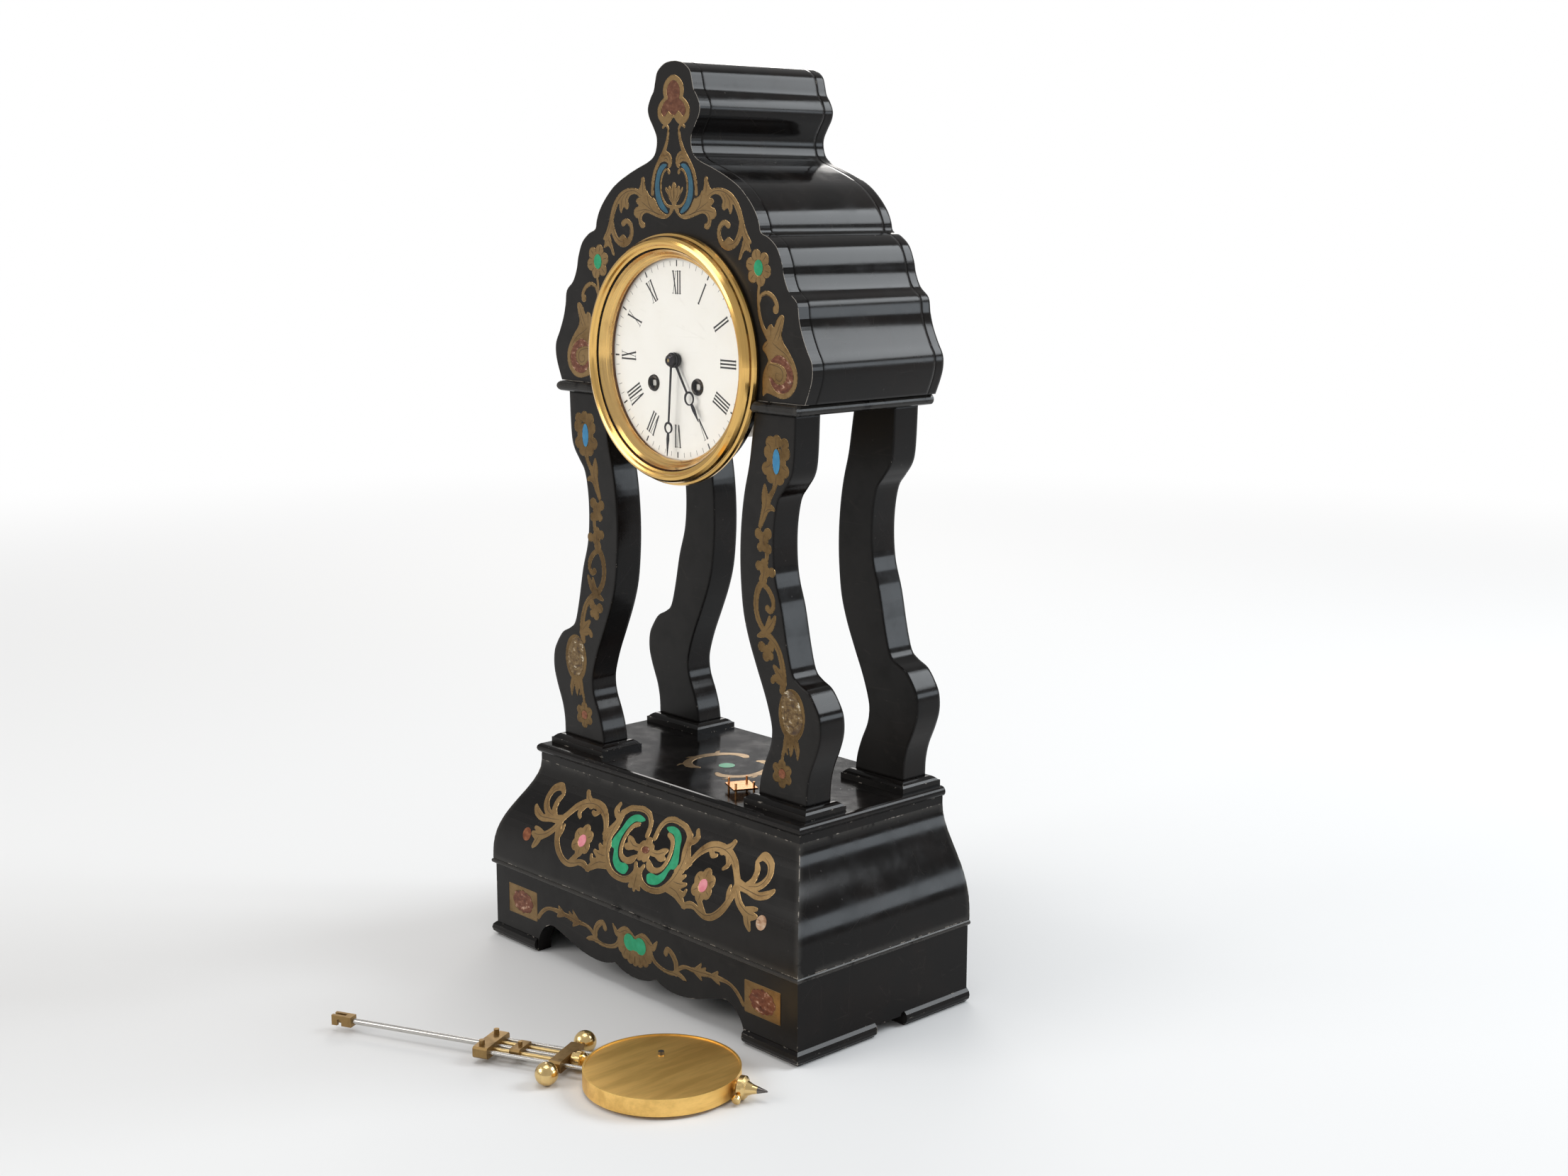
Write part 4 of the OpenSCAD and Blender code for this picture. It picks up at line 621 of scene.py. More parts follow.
def finish_makers():
    """How each finish is made, by name."""
    colours = bpy.context.scene.clock_colours
    dial_axis, flat_axis = (1, 0, 1), (1, 1, 0)
    along_x, along_z = (60, 2200, 2200), (2200, 2200, 60)
    wood_x, wood_y, wood_z = (45, 1500, 1500), (1500, 45, 1500), (1500, 1500, 45)
    board_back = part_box("head_front")[0].y + 3 * MM
    gold, gold_dark = (0.80, 0.50, 0.16, 1), (0.30, 0.15, 0.04, 1)
    rim = shade(colours.inlay_brass, 1.25)
    return {
        "wood_level": lambda n: ebonised_wood(n, wood_x),
        "wood_bead": lambda n: ebonised_wood(n, wood_x, 0.34, 0.6 * MM, 0.8),
        "wood_ogee": lambda n: ebonised_wood(n, wood_x, 0.64, 0.9 * MM, 0.5, None, ogee_normal),
        "wood_upright": lambda n: ebonised_wood(n, wood_z, 0.38, curve=softened(2.0 * MM)),
        "wood_waved": lambda n: ebonised_wood(n, wood_y, 0.12, curve=softened(2.5 * MM)),
        "wood_face": lambda n: ebonised_wood(n, wood_z, 0.95, 0.5 * MM, 0.0, board_back),
        "inlay_brass": lambda n: brass(
            n, tuple(colours.inlay_brass), (0.11, 0.062, 0.026, 1), 0.36, 0.75,
            drawn_along((300, 300, 900)), 0.010 * MM,
        ),
        "inlay_rim": lambda n: brass(
            n, rim, tuple(colours.inlay_brass), 0.30, 0.5, drawn_along((500, 500, 500)), 0.005 * MM,
        ),
        "dull_inlay": lambda n: brass(
            n, (0.20, 0.125, 0.052, 1), (0.07, 0.042, 0.020, 1), 0.40, 0.8,
            drawn_along((300, 300, 900)), 0.010 * MM,
        ),
        "dull_rim": lambda n: brass(
            n, (0.25, 0.16, 0.068, 1), (0.20, 0.125, 0.052, 1), 0.32, 0.5, drawn_along((500, 500, 500)),
            0.005 * MM,
        ),
        "engraved_line": lambda n: painted(
            n, (0.055, 0.032, 0.014, 1), (0.09, 0.055, 0.025, 1), 0.5, 500.0, 0.0,
        ),
        "slate_horn": lambda n: painted(n, (0.026, 0.095, 0.145, 1), (0.040, 0.130, 0.19, 1), 0.3),
        "blue_horn": lambda n: painted(n, tuple(colours.blue_horn), (0.045, 0.26, 0.47, 1), 0.28),
        "green_horn": lambda n: painted(n, tuple(colours.green_horn), (0.022, 0.37, 0.18, 1), 0.28),
        "pink_horn": lambda n: painted(n, (0.74, 0.22, 0.27, 1), (0.84, 0.34, 0.38, 1), 0.28),
        "red_shell": lambda n: pearl(
            n,
            (
                (0.060, 0.018, 0.009), (0.12, 0.034, 0.016), (0.16, 0.052, 0.026), (0.21, 0.080, 0.044),
                (0.60, 0.38, 0.27),
            ),
            0.1,
        ),
        "pale_pearl": lambda n: pearl(
            n,
            (
                (0.050, 0.027, 0.010), (0.11, 0.064, 0.024), (0.17, 0.105, 0.040), (0.24, 0.160, 0.070),
                (0.84, 0.76, 0.60),
            ),
            0.15,
        ),
        "button_pearl": lambda n: pearl(
            n,
            (
                (0.30, 0.16, 0.09), (0.42, 0.25, 0.15), (0.52, 0.34, 0.22), (0.60, 0.42, 0.29),
                (0.80, 0.70, 0.60),
            ),
            0.3,
        ),
        "amber_shell": lambda n: pearl(
            n, ((0.13, 0.036, 0.015), (0.19, 0.058, 0.024), (0.25, 0.085, 0.036), (0.32, 0.12, 0.055)),
            0.0,
        ),
        "brown_shell": lambda n: pearl(
            n,
            ((0.090, 0.032, 0.017), (0.13, 0.048, 0.026), (0.17, 0.068, 0.038), (0.23, 0.105, 0.062)),
            0.0,
        ),
        "dial_black": lambda n: painted(
            n, (0.012, 0.011, 0.012, 1), (0.03, 0.028, 0.028, 1), 0.3, 300.0,
        ),
        "gilt_brass": lambda n: brass(
            n, gold, gold_dark, 0.16, 0.25, turned_at(dial_centre, dial_axis), 0.004 * MM, 0.5,
        ),
        "plate_brass": lambda n: brass(
            n, (0.74, 0.54, 0.25, 1), (0.30, 0.19, 0.08, 1), 0.28, 0.2, drawn_along(along_x),
        ),
        "aged_brass": lambda n: brass(
            n, (0.34, 0.22, 0.09, 1), (0.12, 0.07, 0.03, 1), 0.42, 0.8, drawn_along((900, 300, 900)),
            0.02 * MM,
        ),
        "bob_brass": lambda n: brass(
            n, (1.0, 0.66, 0.22, 1), (0.62, 0.36, 0.09, 1), 0.46, 0.05, drawn_along((1400, 60, 1400)),
            0.010 * MM, 0.15, (95, 14, 95), peg_of_bob,
        ),
        "finial_brass": lambda n: brass(
            n, (0.80, 0.58, 0.26, 1), (0.36, 0.22, 0.09, 1), 0.20, 0.35,
            turned_at(bob_centre, (0, 0, 1)), 0.008 * MM, 0.4, None, tip_of_finial,
        ),
        "door_brass": lambda n: brass(
            n, (0.50, 0.345, 0.15, 1), (0.22, 0.13, 0.05, 1), 0.34, 0.45,
            turned_at(dial_centre, dial_axis), 0.006 * MM, 0.3,
        ),
        "red_brass": lambda n: brass(
            n, (0.62, 0.30, 0.11, 1), (0.26, 0.10, 0.04, 1), 0.24, 0.4, drawn_along((300, 900, 900)),
            0.010 * MM,
        ),
        "polished_brass": lambda n: brass(
            n, (0.80, 0.58, 0.26, 1), (0.36, 0.22, 0.09, 1), 0.20, 0.35,
            turned_at(bob_centre, flat_axis), 0.008 * MM, 0.4,
        ),
        "bell_metal": lambda n: brass(
            n, (0.70, 0.60, 0.42, 1), (0.36, 0.28, 0.17, 1), 0.2, 0.2,
            turned_at(dial_centre, dial_axis),
        ),
        "steel": lambda n: steel(n, (0.60, 0.58, 0.55, 1), 0.24, 0.35, along_x),
        "bright_steel": lambda n: steel(n, (0.66, 0.63, 0.58, 1), 0.45, 0.1, along_x),
        "drum_metal": lambda n: steel(n, (0.30, 0.26, 0.21, 1), 0.42, 0.5, along_z),
        "hand_metal": lambda n: steel(n, (0.035, 0.032, 0.036, 1), 0.28, 0.2, along_z),
        "dark_eyelet": lambda n: steel(n, (0.030, 0.026, 0.024, 1), 0.25, 0.2, along_x),
        "enamel": enamel, "glass": clear_glass,
    }


def finish(name):
    """The material of that finish, made when it is first asked for."""
    own = f"{name}_finish"
    return bpy.data.materials.get(own) or finish_makers()[name](own)


# ---- Drawing of inlay ----


def smooth(points, closed=False, steps=8):
    """A curve through given points, whose last column is the drawn width."""
    p = np.array(points, float)
    n = len(p)
    if n < 3:
        return p
    rows = []
    spans = range(n) if closed else range(n - 1)
    for i in spans:
        before, after = max(i - 1, 0), min(i + 2, n - 1)
        if closed:
            before, after = (i - 1) % n, (i + 2) % n
        a, b, c, d = p[before], p[i], p[(i + 1) % n], p[after]
        for t in np.arange(steps) / steps:
            bend, twist = 2 * a - 5 * b + 4 * c - d, 3 * b - a - 3 * c + d
            rows.append(0.5 * (2 * b + (c - a) * t + bend * t**2 + twist * t**3))
    if not closed:
        rows.append(p[-1])
    return np.array(rows)


FAR = 9.0  # mm, more than any gap that matters in a drawing
INLAY_GAP = 0.05  # mm, between two inlaid forms


class Drawing:
    """Forms on a fine grid in mm.

    Each point of the grid holds its distance to the nearest edge, less than 0 inside a form."""

    def __init__(self, low, high, pitch):
        self.low, self.pitch = np.array(low, float), pitch
        counts = np.ceil((np.array(high) - self.low) / pitch).astype(int) + 1
        self.x = self.low[0] + pitch * np.arange(counts[0])
        self.y = self.low[1] + pitch * np.arange(counts[1])
        self.field = np.full(counts, FAR)

    def window(self, low, high):
        i = slice(*np.searchsorted(self.x, (low[0] - 1, high[0] + 1)))
        j = slice(*np.searchsorted(self.y, (low[1] - 1, high[1] + 1)))
        return i, j, self.x[i][:, None], self.y[j][None, :]

    def stroke(self, *points):
        """A swelling line through points (x, y, width)."""
        line = smooth(points)
        reach = line[:, 2:].max() / 2
        i, j, x, y = self.window(line[:, :2].min(0) - reach, line[:, :2].max(0) + reach)
        for a, b in zip(line[:-1], line[1:]):
            step = b - a
            t = np.clip(
                ((x - a[0]) * step[0] + (y - a[1]) * step[1]) / max(step[0] ** 2 + step[1] ** 2, 1e-9),
                0, 1,
            )
            away = np.hypot(x - a[0] - t * step[0], y - a[1] - t * step[1]) - (a[2] + t * step[2]) / 2
            self.field[i, j] = np.minimum(self.field[i, j], away)
        return self

    def disc(self, x0, y0, radius, tall=None):
        """A disc, or an oval if tall is given."""
        tall = tall or radius
        big = max(radius, tall)
        i, j, x, y = self.window((x0 - big, y0 - big), (x0 + big, y0 + big))
        away = (np.hypot((x - x0) / radius, (y - y0) / tall) - 1) * min(radius, tall)
        self.field[i, j] = np.minimum(self.field[i, j], away)
        return self

    def discs(self, *rows):
        """Discs (x, y, radius)."""
        for row in rows:
            self.disc(*row)
        return self

    def area(self, *points):
        """A closed form through points (x, y)."""
        line = smooth(points, closed=True)
        i, j, x, y = self.window(line.min(0), line.max(0))
        away = np.full(np.broadcast(x, y).shape, FAR)
        inside = np.zeros(away.shape, bool)
        for a, b in zip(line, np.roll(line, -1, 0)):
            step = b - a
            t = np.clip(((x - a[0]) * step[0] + (y - a[1]) * step[1]) / max(step @ step, 1e-9), 0, 1)
            away = np.minimum(away, np.hypot(x - a[0] - t * step[0], y - a[1] - t * step[1]))
            crosses = (a[1] > y) != (b[1] > y)
            if abs(step[1]) > 1e-9:
                inside ^= crosses & (x < a[0] + step[0] * (y - a[1]) / step[1])
        self.field[i, j] = np.minimum(self.field[i, j], np.where(inside, -away, away))
        return self

    def flower(self, x0, y0, petals, reach, petal, turn=90):
        """Petals of that radius round a centre."""
        self.disc(x0, y0, reach)
        for k in range(petals):
            a = math.radians(turn + 360 * k / petals)
            self.disc(x0 + reach * math.cos(a), y0 + reach * math.sin(a), petal)
        return self

    def less(self, *others):
        """Cuts other drawings out, with a gap round them."""
        for other in others:
            self.field = np.maximum(self.field, INLAY_GAP - other.field)
        return self

    def grown(self, by):
        """Widens every form drawn so far, on each side."""
        self.field -= by
        return self

    def mirrored(self):
        """Draws the same forms again on the other side of x = 0; the grid is even about 0."""
        self.field = np.minimum(self.field, self.field[::-1])
        return self


def sheet(half_width, foot, head):
    """Makes empty drawings of one size, on a grid that is even about x = 0."""
    pitch = bpy.context.scene.clock_inlay.pitch / MM
    low, high = (-half_width - pitch * 0.5, foot), (half_width, head)
    return lambda: Drawing(low, high, pitch)


def outline_cells(drawing):
    """Corners and faces of what is drawn, cut at the edge of each form."""
    f, x, y = drawing.field, drawing.x, drawing.y
    inside = f < 0
    some = inside[:-1, :-1] | inside[1:, :-1] | inside[1:, 1:] | inside[:-1, 1:]
    corners, index, faces = [], {}, []

    def corner(i, j):
        if (i, j) not in index:
            index[i, j] = len(corners)
            corners.append((x[i], y[j]))
        return index[i, j]

    def crossing(a, b):
        key = (a, b) if a < b else (b, a)
        if key not in index:
            (i, j), (k, l) = key
            t = min(0.98, max(0.02, f[i, j] / (f[i, j] - f[k, l])))
            index[key] = len(corners)
            corners.append((x[i] + t * (x[k] - x[i]), y[j] + t * (y[l] - y[j])))
        return index[key]

    for i, j in zip(*np.nonzero(some)):
        ring = [(i, j), (i + 1, j), (i + 1, j + 1), (i, j + 1)]
        face = []
        for a, b in zip(ring, ring[1:] + ring[:1]):
            if inside[a]:
                face.append(corner(*a))
            if inside[a] != inside[b]:
                face.append(crossing(a, b))
        if len(face) > 2:
            faces.append(face)
    return corners, faces


def new_piece(name, work, materials, body):
    """Turns a mesh under work into an object of the scene that moves with a body of the model."""
    mesh = bpy.data.meshes.new(name)
    work.to_mesh(mesh)
    work.free()
    piece = bpy.data.objects.new(name, mesh)
    bpy.context.scene.collection.objects.link(piece)
    for material in materials:
        mesh.materials.append(finish(material))
    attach(piece, body)


def inlay_piece(name, drawing, lay, material, rim=None, bends=False, proud=None):
    """A thin sheet in the shape of a drawing. lay turns (x, y, height) into a point in metres.

    rim names the finish of a bevel along its outline; a sheet that bends is cut into level strips."""
    sizes = bpy.context.scene.clock_inlay
    corners, faces = outline_cells(drawing)
    work = bmesh.new()
    made = [work.verts.new((a, b, 0)) for a, b in corners]
    for face in faces:
        work.faces.new([made[k] for k in face])
    bmesh.ops.dissolve_limit(work, angle_limit=0.02, verts=work.verts, edges=work.edges)
    outline = {v for e in work.edges if e.is_boundary for v in e.verts}
    if rim:
        ring = bmesh.ops.inset_region(
            work, faces=work.faces[:], thickness=sizes.rim / MM, use_boundary=True,
            use_even_offset=True,
        )
        for face in ring["faces"]:
            face.material_index = 1
        outline = {v for e in work.edges if e.is_boundary for v in e.verts}
    top = sizes.proud if proud is None else proud
    for vert in work.verts:
        vert.co.z = (0.012 * MM if rim and vert in outline else top) / MM
    bmesh.ops.triangulate(work, faces=work.faces[:])
    if bends:
        for level in np.arange(math.floor(drawing.y[0]), drawing.y[-1], 1.0):
            everything = work.verts[:] + work.edges[:] + work.faces[:]
            bmesh.ops.bisect_plane(work, geom=everything, plane_co=(0, level, 0), plane_no=(0, 1, 0))
    edges = [e for e in work.edges if e.is_boundary]
    for part in bmesh.ops.extrude_edge_only(work, edges=edges)["geom"]:
        if isinstance(part, bmesh.types.BMVert):
            part.co.z = -sizes.sunk / MM
    for vert in work.verts:
        vert.co = lay(*(vert.co * MM))
    bmesh.ops.recalc_face_normals(work, faces=work.faces)
    new_piece(name, work, [material] + ([rim] if rim else []), "case")


def engraved_piece(name, lines, lay):
    """Dark cut lines that swell and taper, drawn through points (x, y) on both sides of x = 0."""
    height = bpy.context.scene.clock_inlay.proud * 1.15
    work = bmesh.new()
    for points in lines:
        line = smooth(points, steps=5)
        run = np.gradient(line, axis=0)
        across = np.stack((-run[:, 1], run[:, 0]), 1) / np.hypot(run[:, 0], run[:, 1])[:, None]
        swell = np.sin(np.linspace(0.15, math.pi - 0.15, len(line)))
        half = (0.05 + 0.12 * swell)[:, None]
        for side in (1, -1):
            edges = [
                [
                    work.verts.new(
                        lay(side * q[0] * MM, q[1] * MM, height)
                    ) for q in line + k * half * across
                ] for k in (side, -side)
            ]
            for a, b, c, d in zip(edges[0], edges[0][1:], edges[1][1:], edges[1]):
                work.faces.new((a, b, c, d))
    new_piece(name, work, ["engraved_line"], "case")


def rays(x, y, reaches, first, step, taller=0.0):
    """Cut lines that run outwards round a flower; taller is how much higher than wide it is."""
    turns = np.radians(np.arange(first, first + 360, step))
    return [[(x + r * math.cos(a), y + (r + taller) * math.sin(a)) for r in reaches] for a in turns]


def facing_front(y, x0=0.0, z0=0.0):
    """Lays a drawing on a plane that faces the front."""
    return lambda a, b, h: Vector((x0 + a, y - h, z0 + b))


# ---- Operators ----


OWN_FINISH = {
    "ogee_base": "wood_ogee",
    "bead_strip": "wood_bead",
    "head_sill": "wood_bead",
    "head_front": "wood_face",
    "head_shell": "wood_waved",
    "head_back": "wood_upright",
    "front_left_column": "wood_upright",
    "front_right_column": "wood_upright",
    "rear_left_column": "wood_upright",
    "rear_right_column": "wood_upright",
    "pendulum_bob": "bob_brass",
    "bob_finial": "finial_brass",
    "rear_door": "door_brass",
    "rear_ring": "door_brass",
    "going_arbor": "bright_steel",
    "strike_arbor": "bright_steel",
    "loose_plate": "red_brass",
}


class CLOCK_OT_finishes(bpy.types.Operator):
    """Give every part of the model its finish"""

    bl_idname = "clock.finishes"
    bl_label = "Finishes"

    def execute(self, context):
        for part in frame["record"]["subparts"]:
            name, slot = part["node"], part["material_slot"]
            usual = "wood_level" if slot == "ebonised_wood" else slot
            mesh = frame["nodes"][name].data
            for k in range(len(mesh.materials)):
                mesh.materials[k] = finish(OWN_FINISH.get(name, usual))
        return {"FINISHED"}


class CLOCK_OT_head_inlay(bpy.types.Operator):
    """Inlay of the head's front board: ring, crescents, scrolls, flowers and leaves"""

    bl_idname = "clock.head_inlay"
    bl_label = "Head inlay"

    def execute(self, context):
        drawing = sheet(96, -16, 146)
        heart = drawing().area(
            (0, 141), (3, 140), (4.8, 137.4), (5, 134.4), (4.4, 132.2), (7, 130.6), (9, 128),
            (9.2, 125), (7.4, 123.4), (5, 125.4), (3.6, 126), (2, 124.6), (0, 124.4), (-2, 130),
            (-2, 136),
        ).mirrored()
        blue = drawing().area(
            (5.4, 99.2), (8.8, 99.7), (12.3, 97.1), (14.4, 92), (15, 87), (14.2, 82.2), (12, 78.6),
            (9.4, 76.4), (6.2, 75), (4.8, 75.5), (6.6, 77.8), (9.2, 80.6), (10.9, 84.2), (11.6, 88.6),
            (10.9, 93.2), (8.6, 96.6),
        ).mirrored()
        green = drawing().disc(64, 49, 3.2, 3.9).mirrored()
        shell = drawing().area(
            (73, 3.4), (75.6, 5.8), (79, 6.9), (83, 5.8), (86.6, 2.8), (89.2, -2), (88.4, -7.4),
            (84.6, -11), (79, -11.6), (74.6, -9), (72, -4.6), (74, -4.8), (76.6, -7), (80.6, -7.6),
            (84, -5), (84.6, -1.4), (82.4, 1.4), (78, 2.9),
        ).mirrored()
        brass_work = drawing()
        a, s = brass_work.area, brass_work.stroke
        # trefoil
        a(
            (0, 143.8), (4.2, 142.6), (7.4, 139.4), (8.2, 135.6), (7.6, 132.8), (10, 131), (12.3, 128),
            (12.6, 124.4), (10.6, 121), (7, 119.2), (3.4, 120), (0.8, 122.4), (-1, 124), (-3, 130),
            (-3, 142),
        )
        # frame of the crescents, with its ears
        s(
            (8.4, 118.1, 1.5), (6.2, 119.2, 1.5), (4.3, 117.4, 1.6), (4.6, 113.6, 1.9),
            (5.8, 109.8, 2.2), (8, 105.6, 2.6), (11.6, 101.2, 2.4), (15, 96.2, 2.3), (16.9, 90.8, 2.3),
            (17.4, 84.6, 2.2),
        )
        a(
            (10.4, 103), (8, 106.2), (5, 105.9), (2.6, 104.3), (1.3, 101.6), (1.9, 99), (3.6, 97.6),
            (4.8, 98.6), (4.5, 99.8), (7, 101), (10.4, 100.4), (13, 98.4),
        )
        s(
            (3.9, 95.6, 2.2), (5, 97, 1.3), (7.6, 96.2, 1.3), (9.7, 93, 1.3), (10.5, 88.6, 1.3),
            (9.9, 84.2, 1.3), (8, 80.9, 1.3), (5.2, 78.7, 1.4), (1.6, 78.2, 1.6),
        )
        # palmette
        a(
            (0, 90), (1.5, 89.4), (2.1, 87.2), (3.2, 88.7), (4.5, 88.2), (4.5, 86.6), (6.5, 88.2),
            (6.9, 86.6), (5.2, 84.6), (4, 82.4), (2.4, 80.6), (0.7, 78.6), (-1, 79), (-1, 89.8),
        )
        # leaves at the foot of the frame
        a(
            (0, 78.4), (1.2, 75.6), (4.8, 72.9), (8.7, 72), (13, 72.7), (17.3, 73.9), (21.6, 75),
            (24.6, 74.4), (26.2, 72.4), (25.6, 70.6), (23.6, 69.6), (23.6, 67.9), (26.2, 67.1),
            (28.4, 69), (29.2, 71.8), (31.2, 72.6), (32.8, 74.6), (31.8, 77.2), (28.8, 78.6),
            (30.9, 80.6), (29.8, 82.4), (26.8, 82.7), (24.4, 82), (23.2, 84.6), (21.8, 86.3),
            (20.2, 84.2), (18.2, 83), (15.6, 82.2), (12.4, 77.8), (9.4, 75.4), (6, 74.2), (4.1, 75),
            (3.4, 77), (2, 78.8),
        )
        # arms
        a(
            (22.4, 84.8), (23.2, 88.6), (23.5, 91.6), (24.6, 93.3), (26.3, 92.6), (26.8, 90.4),
            (27.6, 88.4), (29, 86.4), (26, 84),
        )
        a(
            (23, 83.4), (28.6, 86.8), (33, 87.7), (38.7, 87.3), (44.4, 85), (48.7, 81.1), (51.6, 76.4),
            (53.7, 70.7), (55.9, 65.7), (58.9, 61.2), (56.4, 60.2), (53.6, 62), (51.6, 66), (50, 70.6),
            (48.6, 74.6), (46.8, 77.8), (45, 79.8), (44.8, 77), (43.2, 74.7), (41.6, 77.6),
            (40.2, 77.4), (38.4, 76.6), (36.8, 78.4), (37.4, 81.4), (35.6, 83.8), (31.6, 84.6),
            (28, 83), (25.6, 81.6),
        )
        s(
            (51.4, 71, 3), (50.4, 65.4, 3.6), (47, 60.6, 3.4), (42, 58.6, 3.3), (37.4, 60.2, 3.2),
            (34.8, 64, 3.0), (35.4, 68.4, 2.9), (38.6, 70.6, 2.8), (41.8, 69.4, 3.2),
        )
        a((37, 61), (39, 61.8), (41.6, 63.6), (43.6, 63), (45.6, 61.6), (46, 59.6), (40, 59))
        a(
            (53, 62.4), (51.6, 59), (50.4, 56), (49.3, 52.7), (51.2, 53), (52.6, 55.6), (54.6, 57.2),
            (58.6, 56.4), (57.8, 59), (57, 61.6),
        )
        brass_work.flower(64, 49, 6, 5.9, 3.4, 105)
        # hooks, leaves and snails at the sides
        s((64.4, 40.5, 2.0), (64, 33.6, 2.0), (64.8, 26.4, 2.1), (67.4, 20, 2.4), (71.5, 15, 3.4))
        s(
            (64.4, 32, 1.4), (66.4, 35.8, 1.8), (70.4, 37, 2.1), (74.6, 35.2, 2.4), (77.2, 31.6, 2.8),
            (76.6, 29, 4.2),
        )
        a(
            (67, 9.6), (68.4, 12.4), (70.6, 14), (69.6, 17.4), (71.4, 20.8), (73.6, 21.8), (75.4, 20.4),
            (77.6, 24.2), (80.4, 26.6), (82.7, 25.6), (82, 21.6), (81, 17.4), (82, 13.6), (85.9, 9.3),
            (90.1, 3.6), (92.3, -2.1), (91.4, -7.9), (87.3, -12.7), (81.6, -14.4), (76, -13.4),
            (70.6, -12.2), (67.2, -13.8), (67, -9), (67.3, -3.6), (69.2, 0.7), (71, 3.8), (69.6, 6.8),
        )
        brass_work.mirrored()
        brass_work.less(blue, green, shell, heart)
        board_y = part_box("head_front")[0].y
        lay = facing_front(board_y, 0.0, dial_centre.z)
        inlay_piece("head_brass_inlay", brass_work, lay, "inlay_brass", "inlay_rim")
        inlay_piece("head_trefoil_inlay", heart, lay, "brown_shell", proud=0.03 * MM)
        inlay_piece("head_shell_inlay", shell, lay, "red_shell", proud=0.03 * MM)
        inlay_piece("head_blue_inlay", blue, lay, "slate_horn")
        inlay_piece("head_green_inlay", green, lay, "green_horn")
        engraved_piece(
            "head_engraving",
            [
                [(3, 100.8), (3.4, 102.8), (5.2, 104.2), (7.4, 103.6)],
                [(4.6, 101.4), (6, 102.6), (7.8, 102)], [(0, 81), (0.1, 84.5), (0, 88.4)],
                [(0.8, 81), (2.6, 84), (3.2, 87)], [(1.2, 80.6), (4, 83.4), (5.8, 86.8)],
                [(8, 73.6), (14, 74.8), (20, 77.4), (26.6, 80.8)],
                [(12, 74), (18, 75.8), (24, 76.6), (30.6, 75.6)],
                [(17, 76.2), (20.2, 79.4), (21.6, 84)],
                [(23.6, 76), (27, 74.4), (27.6, 70.6), (25.4, 68.6)],
                [(25, 85.2), (25.2, 88.4), (25, 92)],
                [(26, 83.6), (32, 86.2), (38, 85.8), (43.4, 83.2), (47.8, 78.6), (50.6, 73)],
                [(36.4, 85.2), (39.4, 82), (39, 78.2)], [(39.6, 84.8), (42.8, 81), (43, 76.8)],
                [(52.6, 71), (54.2, 66), (57, 62.2)],
                [(50.6, 68), (49, 63.6), (45.4, 60.4), (41.4, 59.8)],
                [(36, 62.6), (35.6, 66), (37.4, 69), (40, 69.2)],
                [(54.6, 61.4), (53, 58.4), (50.6, 54)], [(55.4, 60.6), (57.6, 58)],
                [(66, 34.4), (70, 35.8), (74, 34), (76.6, 30.6)],
                [(73, 16), (73.2, 18.8), (72.8, 20.8)], [(75.4, 14), (78.4, 19.4), (81, 25)],
                [(78, 14), (79.6, 17), (80.6, 21)], [(74, 13), (78, 10.6), (84, 7.4), (88.4, 2.6)],
                [(71, 12.4), (69.4, 10.8), (68, 10.2)],
                [
                    (70.6, -1.6), (71.6, 1.6), (75.6, 1.8), (80.4, 0.4), (82, -3), (80, -5.8),
                    (76.8, -4.6), (77.2, -2), (79.2, -2.2),
                ],
                *rays(64, 49, (4.8, 6.4, 8.2), 15, 30, 0.2),
            ],
            lay,
        )
        return {"FINISHED"}


